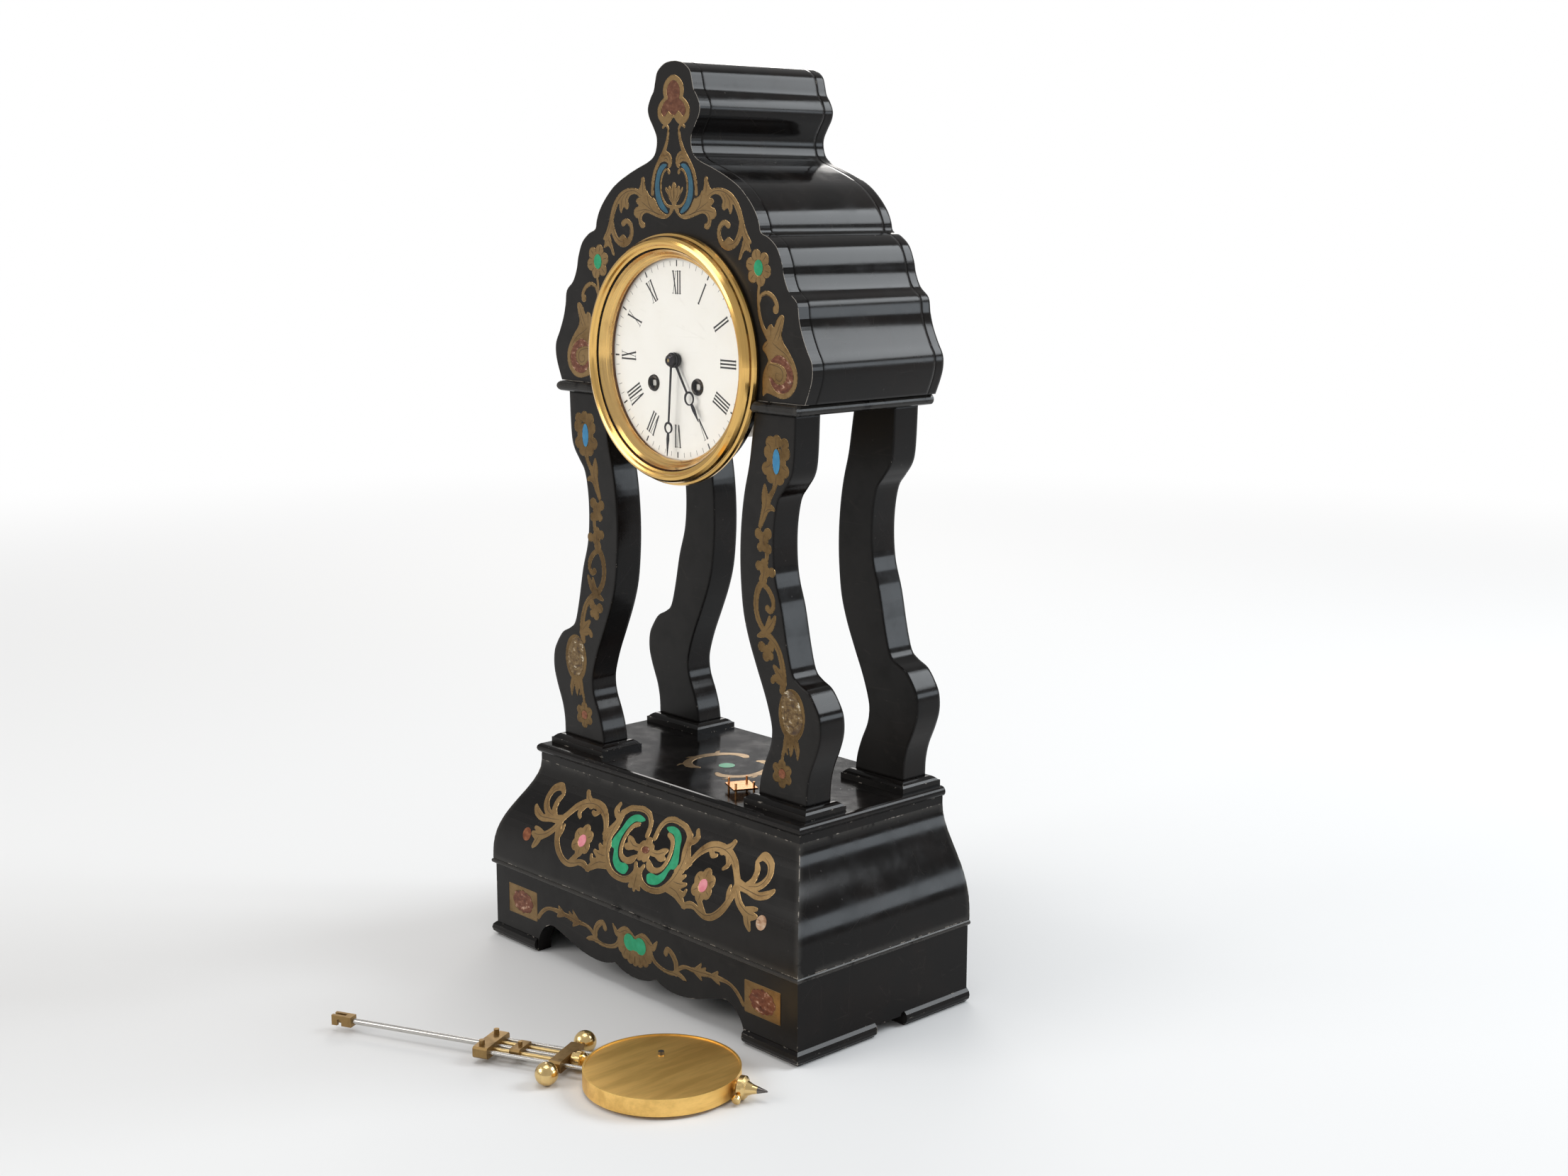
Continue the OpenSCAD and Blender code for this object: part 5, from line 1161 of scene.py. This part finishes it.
class CLOCK_OT_column_inlay(bpy.types.Operator):
    """Inlay of the two front columns: blue oval, vine, pearl shell and flower"""

    bl_idname = "clock.column_inlay"
    bl_label = "Column inlay"

    def execute(self, context):
        drawing = sheet(104, 124, 312)
        blue = drawing().disc(77.2, 294, 2.6, 6.3).mirrored()
        brass_work = drawing()
        s = brass_work.stroke
        brass_work.discs(
            (77.2, 294, 6.6), (73, 303, 3.2), (77.6, 304, 3.0), (83, 303, 2.8), (83.6, 298.6, 3.2),
            (71.4, 298.4, 3), (70, 290, 3), (83.2, 289.6, 3), (73.4, 286.2, 3), (79.6, 286, 3.2),
        )
        s(
            (77.2, 285, 3.4), (75.4, 280, 2.2), (72, 275, 2.8), (69.4, 270, 4.4), (67.4, 265, 3.4),
            (65.4, 260.4, 2.2),
        )
        s((69.6, 270, 5), (69, 276, 4.4), (68.8, 281.4, 1))
        s((70, 270, 3.6), (73.6, 270.4, 2.4), (75.6, 269.6, 0.9))
        brass_work.discs(
            (68, 254, 3.2), (64, 256.4, 2.4), (71, 257, 2.6), (65.4, 249.6, 2), (71.4, 249.2, 2.2),
            (68.6, 250.4, 2.6),
        )
        s((70, 250, 2.2), (70.4, 245, 1.9), (69.4, 240, 2.2))
        brass_work.discs(
            (69, 237.4, 3.2), (64.4, 240, 2.2), (68.4, 241.4, 2.4), (74, 237.6, 2.2),
            (67.6, 233.2, 2.6),
        )
        s(
            (67.6, 233, 3), (63.6, 227, 3.2), (62.2, 220, 3), (63.4, 213.6, 2.8), (66.4, 209, 2.8),
            (70, 206, 3.2),
        )
        s(
            (67, 231, 2), (71.4, 228.6, 2.3), (74.8, 224, 2.4), (75, 219.6, 2.2), (73, 217.6, 2.2),
            (71, 218.8, 3),
        )
        s((70, 206.4, 4), (73.4, 209.6, 3.6), (75.4, 213, 2.6), (76.6, 215.4, 0.9))
        s((70, 206.4, 4), (66.4, 204.6, 2.6), (63.8, 203.6, 0.9))
        s((70, 206, 4), (71.6, 211, 2.6), (72.4, 214.6, 0.9))
        s(
            (69, 206, 3), (74, 203.6, 3), (79, 198.4, 3), (82, 191, 3.2), (83, 183.6, 3.6),
            (82, 178, 3.4),
        )
        brass_work.discs(
            (70.6, 197, 2.6), (66.6, 198.4, 2.4), (73.4, 199.2, 2.2), (70, 194, 2.4), (73.2, 194.6, 2),
        )
        s((72, 199.4, 1.8), (74, 202, 1.8), (76.6, 201.6, 1.8))
        s((83, 182, 4), (79.4, 186.4, 4), (76, 189.6, 1.4))
        s((81, 182.6, 3.6), (76.6, 183.6, 3.2), (74.8, 182, 2.4))
        shell = drawing().area(
            (83, 177), (87.4, 179), (92, 176.6), (95.6, 170.8), (97, 164.4), (94.6, 159), (90.8, 156.4),
            (86.4, 157.2), (83.2, 160.6), (82, 166), (81.6, 172),
        ).mirrored()
        brass_work.grown(0.35).disc(89, 166.4, 9.6, 13.6)
        s((86, 154, 5), (84.6, 149.4, 3.6), (86, 145.6, 1))
        s((91, 154, 5), (93.2, 149.4, 3.4), (93.4, 144.4, 1))
        s((88.4, 152, 5), (88.6, 147.6, 2.6), (88.2, 145, 0.9))
        s((84.6, 150, 3), (82.6, 145, 2.2), (82, 140, 2))
        flower_x, flower_z = 82, 134.6
        brass_work.flower(flower_x, flower_z, 6, 4.9, 2.7)
        button = drawing().disc(flower_x, flower_z, 2.5).mirrored()
        brass_work.mirrored().less(blue, shell, button)
        lay = facing_front(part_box("front_left_column")[0].y)
        inlay_piece("column_brass_inlay", brass_work, lay, "dull_inlay", "dull_rim")
        inlay_piece("column_blue_inlay", blue, lay, "blue_horn")
        inlay_piece("column_pearl_inlay", shell, lay, "pale_pearl")
        inlay_piece("column_button_inlay", button, lay, "amber_shell")
        engraved_piece(
            "column_engraving",
            [
                [(70, 303), (72.6, 301.4), (73.4, 298)], [(77.2, 306), (77, 303.6), (77.2, 301.6)],
                [(83.6, 303.4), (81.4, 301.6), (80.8, 298)], [(68.6, 290.4), (71.4, 291), (73.4, 293)],
                [(84.8, 290), (82.6, 291), (80.8, 292.6)], [(77.2, 286.4), (77, 284), (76.4, 281.4)],
                [(66.6, 263.6), (68.4, 268), (70, 273), (69.4, 279)],
                [(68.6, 267.6), (71.6, 269.4), (74.4, 269.6)],
                [(68.4, 256), (67.6, 253.4), (68.4, 250.6)], [(68, 240.6), (68.4, 236.6), (67, 232)],
                [(70.8, 238), (69.4, 235.4)], [(63.4, 228), (61.8, 220.6), (63.6, 213), (67.6, 208)],
                [(70, 207), (73.4, 210.6), (75.8, 214.2)], [(70, 205.6), (66.6, 204.6)],
                [(71.8, 204.2), (77.6, 200.6), (81.4, 193.4), (82.6, 186)],
                [(82.6, 183.6), (79.6, 186.6), (77, 189)], [(81.6, 182.4), (77.6, 183.2)],
                [
                    (84, 176), (89, 174.6), (93, 170), (93.6, 163.6), (89.6, 160.4), (86, 163.4),
                    (87.2, 167.4), (90, 166.4),
                ],
                [(84, 170), (83.6, 165), (85.2, 160.4)], [(86, 153.4), (85, 149.6), (85.8, 146.4)],
                [(90.8, 153.6), (92.6, 149.6), (93.2, 145.6)], [(88.4, 151.6), (88.5, 147)],
                *rays(flower_x, flower_z, (3.4, 4.8, 6.4), 30, 60),
            ],
            lay,
        )
        return {"FINISHED"}


class CLOCK_OT_ogee_inlay(bpy.types.Operator):
    """Inlay of the base's curved front: scrolls, green crescents, flowers and buttons"""

    bl_idname = "clock.ogee_inlay"
    bl_label = "Ogee inlay"

    def execute(self, context):
        drawing = sheet(106, 56, 100)
        green = drawing().area(
            (9, 92.6), (14, 94), (19, 93), (22.6, 90), (24.4, 85.6), (27.6, 79), (26.4, 75.8),
            (23.6, 74.8), (21.4, 69.4), (16.6, 65.8), (10, 65.2), (7.8, 68.8), (10.8, 70.4), (16, 70.5),
            (20, 74.4), (21.6, 80.4), (19.8, 86.4), (16.2, 90.2), (11.6, 91),
        ).mirrored()
        pink = drawing().disc(51, 73.4, 3.1).mirrored()
        left_button, right_button = drawing().disc(-98.7, 66.7, 3.6), drawing().disc(98.7, 66.7, 3.6)
        heart = drawing().disc(0, 79.6, 3.0, 1.6)
        brass_work = drawing()
        s = brass_work.stroke
        s(
            (3.2, 86.4, 2.4), (3.8, 91.4, 2.4), (7, 95.4, 2.4), (12.4, 97.2, 2.4), (18, 96.7, 2.2),
            (24, 95.2, 2.4), (28.4, 92, 3.2),
        )
        s((28, 91, 3), (31, 90.2, 2.6), (34, 92.6, 2.8), (32.6, 95.6, 2))
        s(
            (12.6, 89.8, 1.6), (16.6, 87.8, 1.7), (18.9, 83.4, 1.7), (19, 78, 1.7), (16.6, 73.6, 1.7),
            (11.6, 72, 2), (7, 73.4, 3), (5.4, 75.2, 1),
        )
        s(
            (28.6, 91, 3.4), (29.4, 85.6, 4.4), (31, 80, 3.6), (30.4, 74.6, 4.4), (28, 70, 4),
            (24, 66, 3), (18.6, 63.2, 2.4), (11, 62.4, 2.2), (5, 64.2, 2.8), (2, 68.4, 2.4),
            (3.2, 72, 1.6),
        )
        s((30, 86, 3.6), (33.4, 82.6, 2.4), (36.2, 80.6, 1.8))
        s((29, 76, 4), (32.4, 76.4, 2.4), (33.6, 79, 0.9))
        s((29, 72.6, 4), (33, 72.8, 2.6), (36, 74.6, 0.9))
        s((28, 70, 4), (33.6, 69.6, 3), (38.6, 71, 0.9))
        s((26, 66.6, 4), (33, 65.6, 4.4), (38, 62.8, 3.2), (41.4, 60.2, 1.2))
        s((33, 66, 4), (38.4, 66, 2), (40, 68.4, 0.9))
        s(
            (40, 60.4, 1.4), (44.6, 62.4, 2.8), (49, 62.4, 2.2), (53, 60.8, 2.2), (58, 59.6, 2.4),
            (63.6, 61, 2.8), (69, 65.4, 3.2), (72.6, 71.4, 3.2), (74.2, 78.6, 3.6),
        )
        s((51, 66.6, 2.4), (54.6, 62.8, 2.4), (58, 59.8, 1.6))
        s(
            (34.6, 78.6, 1.6), (37.6, 84.6, 2.6), (43, 89.8, 3.6), (50, 92, 4), (58, 91.4, 3.8),
            (65.4, 88.4, 3.2), (71, 83, 2.8), (74.6, 79, 3.4),
        )
        s((55, 91, 3.6), (59.6, 94, 2.8), (61.4, 96.2, 2.4))
        s((60, 90, 3), (62.4, 86, 2.2), (60.2, 83.6, 0.9))
        s((46, 91, 3), (49, 87.6, 1.8), (52, 88, 0.9))
        brass_work.flower(51, 73.4, 6, 5.0, 2.9)
        s((74.4, 79.4, 4), (82, 78.6, 2.8), (90, 77.4, 2.6), (96.4, 79.2, 3), (99.6, 81.6, 1.4))
        s(
            (80, 79.6, 2.6), (87, 80.6, 2.8), (91.6, 84, 3.2), (92.8, 88.4, 3.2), (90, 93, 3.6),
            (84.4, 94.6, 3.4), (81, 91.2, 1.4),
        )
        s((80, 80, 2), (83.4, 83, 3), (83.6, 87.4, 2.8), (81.6, 90.4, 1.8))
        s((74.4, 78, 3), (78.4, 73, 2.8), (84, 69.4, 2.8), (89.6, 68, 3.8), (94, 68.4, 1.4))
        s((87, 68.6, 4), (89, 64.6, 3.4), (91.4, 61.6, 1.2))
        s((86, 69, 4), (90, 71, 2), (93, 71.6, 0.9))
        s((72, 71, 3), (70.2, 74.6, 1.8), (70, 77.4, 0.9))
        s((0, 68.4, 4), (0, 63.6, 3.4), (0, 59.4, 1.4))
        s((0, 64, 3), (2.8, 61.4, 2.4), (4.2, 60.4, 0.9))
        brass_work.flower(0, 79.6, 5, 3.4, 2.4)
        s((4, 79.6, 2.4), (9, 79.6, 2.2), (13.4, 81.2, 3), (16, 82.6, 0.9))
        s((9, 79.6, 2.2), (13.6, 78.6, 2.8), (16.4, 78.6, 0.9))
        brass_work.mirrored().grown(0.5).less(green, pink, heart)
        base_low, base_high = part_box("ogee_base")

        def fall(height):
            """How far the curve has come in at a height."""
            share = min(1.0, max(0.0, (height - base_low.z) / (base_high.z - base_low.z)))
            return (1 - math.cos(math.pi * share**OGEE_POWER)) / 2

        foot_y, neck_y = base_low.y, neck_of_ogee()

        def front(height):
            return foot_y + (neck_y - foot_y) * fall(height)

        def lay(a, b, h):
            slope = (front(b + 0.2 * MM) - front(b - 0.2 * MM)) / (0.4 * MM)
            out = Vector((0, -1, slope)).normalized()
            return Vector((a, front(b), b)) + out * h

        inlay_piece(
            "ogee_brass_inlay", brass_work, lay, "inlay_brass", "inlay_rim", bends=True,
        )
        horn = (
            ("green", green, "green_horn"),
            ("pink", pink, "pink_horn"),
            ("left_button", left_button, "amber_shell"),
            ("pearl", right_button, "button_pearl"),
            ("heart", heart, "red_shell"),
        )
        for name, part, material in horn:
            inlay_piece(f"ogee_{name}_inlay", part, lay, material, bends=True)
        engraved_piece(
            "ogee_engraving",
            [
                [(4.2, 89), (5.4, 93.4), (9.4, 95.8), (15, 96.6), (21.6, 95.6)],
                [(29, 92.4), (31.6, 91.6), (33.2, 93)],
                [(29.4, 88), (30.6, 83), (30.4, 77), (28.4, 71.6), (24.6, 67.4)],
                [(30.4, 85), (33, 82.6)], [(29.6, 76.2), (32.4, 77)],
                [(29, 70.4), (33, 70.2), (36.6, 70.8)], [(27, 67.2), (33, 66.2), (38.6, 62.8)],
                [(20, 64.2), (12, 63.2), (5.8, 65)],
                [(41.8, 61.6), (47, 62.8), (53, 61), (59, 60.4), (65.4, 63.4), (70.4, 69), (73, 76)],
                [(36, 81), (40, 86.8), (46.4, 90.6), (54, 91.8), (62, 89.8), (69, 85)],
                [(56, 91.6), (59.4, 93.4), (61, 95.4)], [(61, 89.4), (62, 86)],
                [(47, 90.4), (49.4, 88.2)], [(76, 79), (84, 78.2), (92, 77.8), (97.6, 79.8)],
                [(82, 80), (88.6, 81.6), (92, 86), (90.4, 91.4), (85.4, 94)],
                [(75.4, 76.6), (80.6, 71.6), (87.6, 68.8), (92.6, 68.6)],
                [(88, 67.6), (89.6, 64.4), (91, 62)], [(0, 68), (0, 64), (0, 60.6)],
                [(6, 79.6), (10.6, 79.8), (14.6, 81.6)], *rays(51, 73.4, (4, 5.4, 7), 30, 60),
            ],
            lay,
        )
        return {"FINISHED"}


def neck_of_ogee():
    """The front of the curved base where it is narrowest, read from its own upper rim."""
    node = frame["nodes"]["ogee_base"]
    top = max(v.co.z for v in node.data.vertices)
    return min(v.co.y for v in node.data.vertices if v.co.z > top - 0.3 * MM)


class CLOCK_OT_apron_inlay(bpy.types.Operator):
    """Inlay of the plinth's front: shell, vine and framed cartouches"""

    bl_idname = "clock.apron_inlay"
    bl_label = "Apron inlay"

    def execute(self, context):
        drawing = sheet(116, 12, 40)
        green = drawing().disc(4.6, 28.4, 4.7).disc(0, 28, 3.4).mirrored()
        brass_work = drawing()
        s = brass_work.stroke
        brass_work.discs(
            (0, 26, 7), (7.6, 28.6, 7), (11.4, 23.6, 3), (8.4, 21, 3.2), (4, 19.4, 3), (0, 18.6, 2.6),
            (11, 27, 4),
        )
        s(
            (2, 33, 2), (7, 35.4, 2.2), (11.4, 33.4, 3), (15, 30.4, 3.4), (17.4, 33, 2.4),
            (18.8, 35, 0.9),
        )
        s(
            (12.6, 27.4, 3.4), (16.4, 23.4, 2.6), (22, 21.2, 2.2), (29, 20.6, 2.3), (35, 22, 2.8),
            (39.6, 21, 2.6), (42.4, 20, 0.9),
        )
        s((34, 21.6, 3.4), (34.4, 26.6, 3.8), (31.6, 31.2, 3.6), (27.6, 33.2, 3), (25.8, 30.6, 3.4))
        s(
            (34, 23, 2.6), (40, 27, 2.2), (47, 27.6, 2.6), (54, 28, 3.8), (61, 28.6, 2.6),
            (68, 29, 2.8), (76, 28.6, 2), (82, 25.8, 2.4), (87, 20.6, 2.6),
        )
        for x, z, end_x, end_z in (
            (50, 28, 54.6, 33), (54, 28.4, 58, 31.6), (50, 27.4, 54.8, 24), (64, 29, 67.6, 32.4),
            (64, 28.4, 69, 25.8),
        ):
            s((x, z, 3), ((x + end_x) / 2 + 0.6, (z + end_z) / 2, 2.6), (end_x, end_z, 0.9))
        for x0, z0, x1, z1 in (
            (88.6, 18, 114.4, 18), (114.4, 18, 114.4, 34), (114.4, 34, 88.6, 34), (88.6, 34, 88.6, 18),
        ):
            s((x0, z0, 1.2), (x1, z1, 1.2))
        beside = abs(brass_work.x[:, None] - 101.5) - 12.9
        above = abs(brass_work.y[None, :] - 26) - 8
        brass_work.field = np.minimum(brass_work.field, np.maximum(beside, above))
        window = drawing().stroke((94.6, 26, 5.4), (108.4, 26, 5.4))
        for x, z in (
            (94, 26), (95.6, 29), (95.6, 23), (98.4, 30), (98.4, 22), (101.5, 30.6), (101.5, 21.4),
            (104.6, 30), (104.6, 22), (107.4, 29), (107.4, 23), (109, 26),
        ):
            window.disc(x, z, 2.1)
        window.mirrored()
        brass_work.mirrored().less(green, window)
        lay = facing_front(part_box("plinth")[0].y)
        inlay_piece("apron_brass_inlay", brass_work, lay, "inlay_brass", "inlay_rim")
        inlay_piece("apron_green_inlay", green, lay, "green_horn")
        inlay_piece("apron_shell_inlay", window, lay, "red_shell")
        engraved_piece(
            "apron_engraving",
            [
                [(4, 34), (8.4, 34), (12.6, 31.8), (16, 32)], [(0, 21.8), (0, 19.6), (0, 17.4)],
                [(3.8, 22.6), (4.4, 20.4), (4.6, 18.2)], [(7.6, 23.6), (9, 21.6), (9.6, 19.8)],
                [(14, 26), (18.4, 22.4), (25, 21), (32, 21.4), (38.6, 21.2)],
                [(34.4, 23.6), (33.8, 28.4), (30, 32)],
                [(36, 24.8), (43, 27.4), (50, 27.8), (58, 28.6), (66, 29)], [(51, 28.8), (53.6, 31.6)],
                [(51, 27), (53.6, 25)], [(64.4, 29.4), (66.8, 31.6)],
                [(70, 29), (77, 28.2), (83, 24.8)],
            ],
            lay,
        )
        return {"FINISHED"}


class CLOCK_OT_top_inlay(bpy.types.Operator):
    """Inlay of the base's top: two scrolls round a green oval"""

    bl_idname = "clock.top_inlay"
    bl_label = "Top inlay"

    def execute(self, context):
        drawing = sheet(30, -20, 32)
        green = drawing().disc(0, 4, 4.5)
        brass_work = drawing()
        s = brass_work.stroke
        s(
            (5.4, 23, 3.4), (9, 24.4, 5.4), (15, 22.4, 4.6), (20.4, 16.6, 5.2), (23.6, 8.4, 5.4),
            (23.4, 0, 4.6), (19.6, -7.4, 5), (13, -11.4, 5.4), (7.6, -10, 2.6),
        )
        s((21, 16, 4), (24.6, 18.4, 2), (25.4, 21, 0.9))
        s((23.6, 3, 4), (26.6, 0.6, 2), (27, -2.4, 0.9))
        s((17.4, -9.6, 4), (19.6, -13, 2), (18.6, -15.6, 0.9))
        brass_work.mirrored()
        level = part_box("base_plate")[1].z

        def lay(a, b, h):
            return Vector((a, b, level + h))

        inlay_piece("top_brass_inlay", brass_work, lay, "inlay_brass", "inlay_rim")
        inlay_piece("top_green_inlay", green, lay, "green_horn")
        engraved_piece(
            "top_engraving",
            [
                [
                    (7.4, 23.6), (13.4, 22.6), (19.4, 16.6), (22.8, 9), (22.8, 1), (19, -6.4),
                    (12.6, -10.4),
                ],
                [(22, 16.2), (24.6, 19)], [(24, 2.4), (26.4, -0.4)], [(18, -10.4), (19, -13.6)],
            ],
            lay,
        )
        return {"FINISHED"}


GLYPHS = {
    "I": (1.8, [((0, 0), (0, 1), "thick")], [(0, 0), (0, 1)]),
    "V": (3.3, [((-1.1, 1), (0, 0), "thick"), ((1.1, 1), (0.2, 0), "thin")], [(-1.1, 1), (1.1, 1)]),
    "X": (
        3.3, [((-1.1, 1), (1.1, 0), "thick"), ((1.1, 1), (-1.1, 0), "thin")],
        [(-1.1, 1), (1.1, 1), (-1.1, 0), (1.1, 0)],
    ),
}
HOURS = ["I", "II", "III", "IIII", "V", "VI", "VII", "VIII", "IX", "X", "XI", "XII"]


class CLOCK_OT_dial_writing(bpy.types.Operator):
    """Hour numerals and minute marks, fired on the dial"""

    bl_idname = "clock.dial_writing"
    bl_label = "Dial writing"

    def execute(self, context):
        sizes = context.scene.clock_dial
        foot, head = sizes.numeral_foot / MM, sizes.numeral_head / MM
        ticks = (sizes.minute_foot / MM, sizes.minute_head / MM)
        serif, hour_mark, minute_mark, half_serif = 0.22, 0.85, 0.24, 0.8
        widths = {"thick": 0.92, "thin": 0.32}
        written = Drawing((-52, -52), (52, 52), 0.14)
        for hour, letters in enumerate(HOURS, 1):
            turn = math.radians(30 * hour)
            out = np.array((math.sin(turn), math.cos(turn)))
            side = np.array((math.cos(turn), -math.sin(turn)))

            def spot(across, up):
                return out * (foot + (head - foot) * up) + side * across

            room = sum(GLYPHS[c][0] for c in letters)
            at = -room / 2
            for letter in letters:
                advance, lines, serifs = GLYPHS[letter]
                middle = at + advance / 2
                for (xa, ya), (xb, yb), weight in lines:
                    a, b = spot(middle + xa, ya), spot(middle + xb, yb)
                    written.stroke((*a, widths[weight]), (*b, widths[weight]))
                for x, y in serifs:
                    a, b = spot(middle + x - half_serif, y), spot(middle + x + half_serif, y)
                    written.stroke((*a, serif), (*b, serif))
                at += advance
        for minute in range(60):
            turn = math.radians(6 * minute)
            out = np.array((math.sin(turn), math.cos(turn)))
            wide = hour_mark if minute % 5 == 0 else minute_mark
            written.stroke((*(out * ticks[0]), wide), (*(out * ticks[1]), wide))
        lay = facing_front(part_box("dial")[0].y, dial_centre.x, dial_centre.z)
        inlay_piece("dial_writing", written, lay, "dial_black", proud=0.03 * MM)
        return {"FINISHED"}


def looked_at(w, seen):
    """1 for rays that come from the camera, straight or by way of polish or glass."""
    bent = w.sum("MAXIMUM", seen.outputs["Is Glossy Ray"], seen.outputs["Is Transmission Ray"])
    return w.sum("MAXIMUM", seen.outputs["Is Camera Ray"], bent)


class CLOCK_OT_stage(bpy.types.Operator):
    """Camera, floor, lamps and background"""

    bl_idname = "clock.stage"
    bl_label = "Stage"

    def execute(self, context):
        sizes = context.scene.clock_stage
        camera_data = bpy.data.cameras.new("photo_camera")
        camera_data.lens = sizes.lens
        camera_data.sensor_width = 36
        camera_data.clip_start, camera_data.clip_end = 0.01, 100
        camera = bpy.data.objects.new("photo_camera", camera_data)
        context.scene.collection.objects.link(camera)
        level, rise = math.cos(sizes.elevation), math.sin(sizes.elevation)
        back = Vector((math.sin(sizes.azimuth) * level, -math.cos(sizes.azimuth) * level, rise))
        right = (-back).cross(Vector((0, 0, 1))).normalized()
        up = right.cross(-back)
        c, s = math.cos(sizes.roll), math.sin(sizes.roll)
        right, up = c * right + s * up, c * up - s * right
        turned = Matrix((right, up, back)).transposed().to_4x4()
        camera.matrix_world = Matrix.Translation(Vector(sizes.place)) @ turned
        context.scene.camera = camera

        bpy.ops.mesh.primitive_plane_add(size=24, location=(0, 0, -0.0002))
        floor = context.object
        floor.name = "floor"
        made, w, shader = new_material("floor")
        shader.inputs["Base Color"].default_value = sizes.floor
        shader.inputs["Roughness"].default_value = 0.9
        shader.inputs["Specular IOR Level"].default_value = 0.1
        far = w.band(w.vector("LENGTH", w.place(), out=1), 0.7, 2.2)
        looked = looked_at(w, w.node("LightPath"))
        white = w.node("Emission", (), {"Color": (1, 1, 1, 1), "Strength": 1.0}).outputs[0]
        both = w.node(
            "MixShader", (), {0: w.times(far, looked), 1: shader.outputs[0], 2: white},
        ).outputs[0]
        w.put(made.node_tree.nodes["Material Output"].inputs["Surface"], both)
        floor.data.materials.append(made)

        world = bpy.data.worlds.new("studio")
        context.scene.world = world
        world.use_nodes = True
        w = Wiring(world.node_tree)
        backdrop = world.node_tree.nodes["Background"]
        seen = w.node("LightPath")
        room_light, seen_white, mirrored_light = 0.42, 1.0, 0.50
        direct = w.blend(looked_at(w, seen), room_light, seen_white)
        backdrop.inputs["Color"].default_value = (1, 1, 1, 1)
        w.put(
            backdrop.inputs["Strength"], w.blend(seen.outputs["Is Glossy Ray"], direct, mirrored_light),
        )

        def lamp(name, place, aim, width, height, power, colour=(1, 1, 1)):
            data = bpy.data.lights.new(name, "AREA")
            data.shape, data.size, data.size_y = "RECTANGLE", width, height
            data.energy, data.color = power, colour
            made = bpy.data.objects.new(name, data)
            context.scene.collection.objects.link(made)
            made.visible_camera = False
            made.location = place
            made.rotation_euler = (Vector(aim) - Vector(place)).to_track_quat("-Z", "Y").to_euler()

        lamp("key_softbox", (1.0, 1.45, 1.45), (0, 0, 0.25), 1.0, 0.8, 25, (0.91, 0.96, 1.0))
        lamp("side_softbox", (1.85, 1.7, 0.62), (0, 0, 0.2), 0.9, 0.5, 9, (0.84, 0.925, 1.0))
        lamp("front_softbox", (-0.9, -1.9, 1.3), (0, 0, 0.22), 1.4, 1.0, 18, (1.0, 0.98, 0.95))
        lamp("back_softbox", (-1.35, 1.2, 1.05), (0.0, -0.1, 0.1), 0.9, 0.5, 8, (1.0, 0.97, 0.93))
        lamp("top_softbox", (0.0, -0.2, 2.2), (0, 0, 0.2), 1.2, 1.2, 12)
        context.scene.view_settings.view_transform = "Standard"
        return {"FINISHED"}


class CLOCK_PT_sidebar(bpy.types.Panel):
    """Buttons for each group of pieces"""

    bl_idname = "CLOCK_PT_sidebar"
    bl_label = "Table clock"
    bl_space_type = "VIEW_3D"
    bl_region_type = "UI"
    bl_category = "Clock"

    def draw(self, context):
        for operator in OPERATORS:
            self.layout.operator(operator.bl_idname)
        for group in SETTINGS:
            settings = getattr(context.scene, group)
            for name in settings.bl_rna.properties.keys():
                if name not in ("rna_type", "name"):
                    self.layout.prop(settings, name)


OPERATORS = (
    CLOCK_OT_stage,
    CLOCK_OT_finishes,
    CLOCK_OT_head_inlay,
    CLOCK_OT_column_inlay,
    CLOCK_OT_ogee_inlay,
    CLOCK_OT_apron_inlay,
    CLOCK_OT_top_inlay,
    CLOCK_OT_dial_writing,
)
SETTINGS = {
    "clock_colours": ClockColours,
    "clock_inlay": InlaySizes,
    "clock_dial": DialSizes,
    "clock_stage": StageSizes,
}


def register():
    for settings in SETTINGS.values():
        bpy.utils.register_class(settings)
    for name, settings in SETTINGS.items():
        setattr(bpy.types.Scene, name, bpy.props.PointerProperty(type=settings))
    for operator in OPERATORS:
        bpy.utils.register_class(operator)
    bpy.utils.register_class(CLOCK_PT_sidebar)


def unregister():
    bpy.utils.unregister_class(CLOCK_PT_sidebar)
    for operator in reversed(OPERATORS):
        bpy.utils.unregister_class(operator)
    for name, settings in SETTINGS.items():
        delattr(bpy.types.Scene, name)
        bpy.utils.unregister_class(settings)


def main():
    register()
    bpy.ops.clock.stage()
    bpy.ops.clock.finishes()
    bpy.ops.clock.head_inlay()
    bpy.ops.clock.column_inlay()
    bpy.ops.clock.ogee_inlay()
    bpy.ops.clock.apron_inlay()
    bpy.ops.clock.top_inlay()
    bpy.ops.clock.dial_writing()


if __name__ == "__main__":
    main()
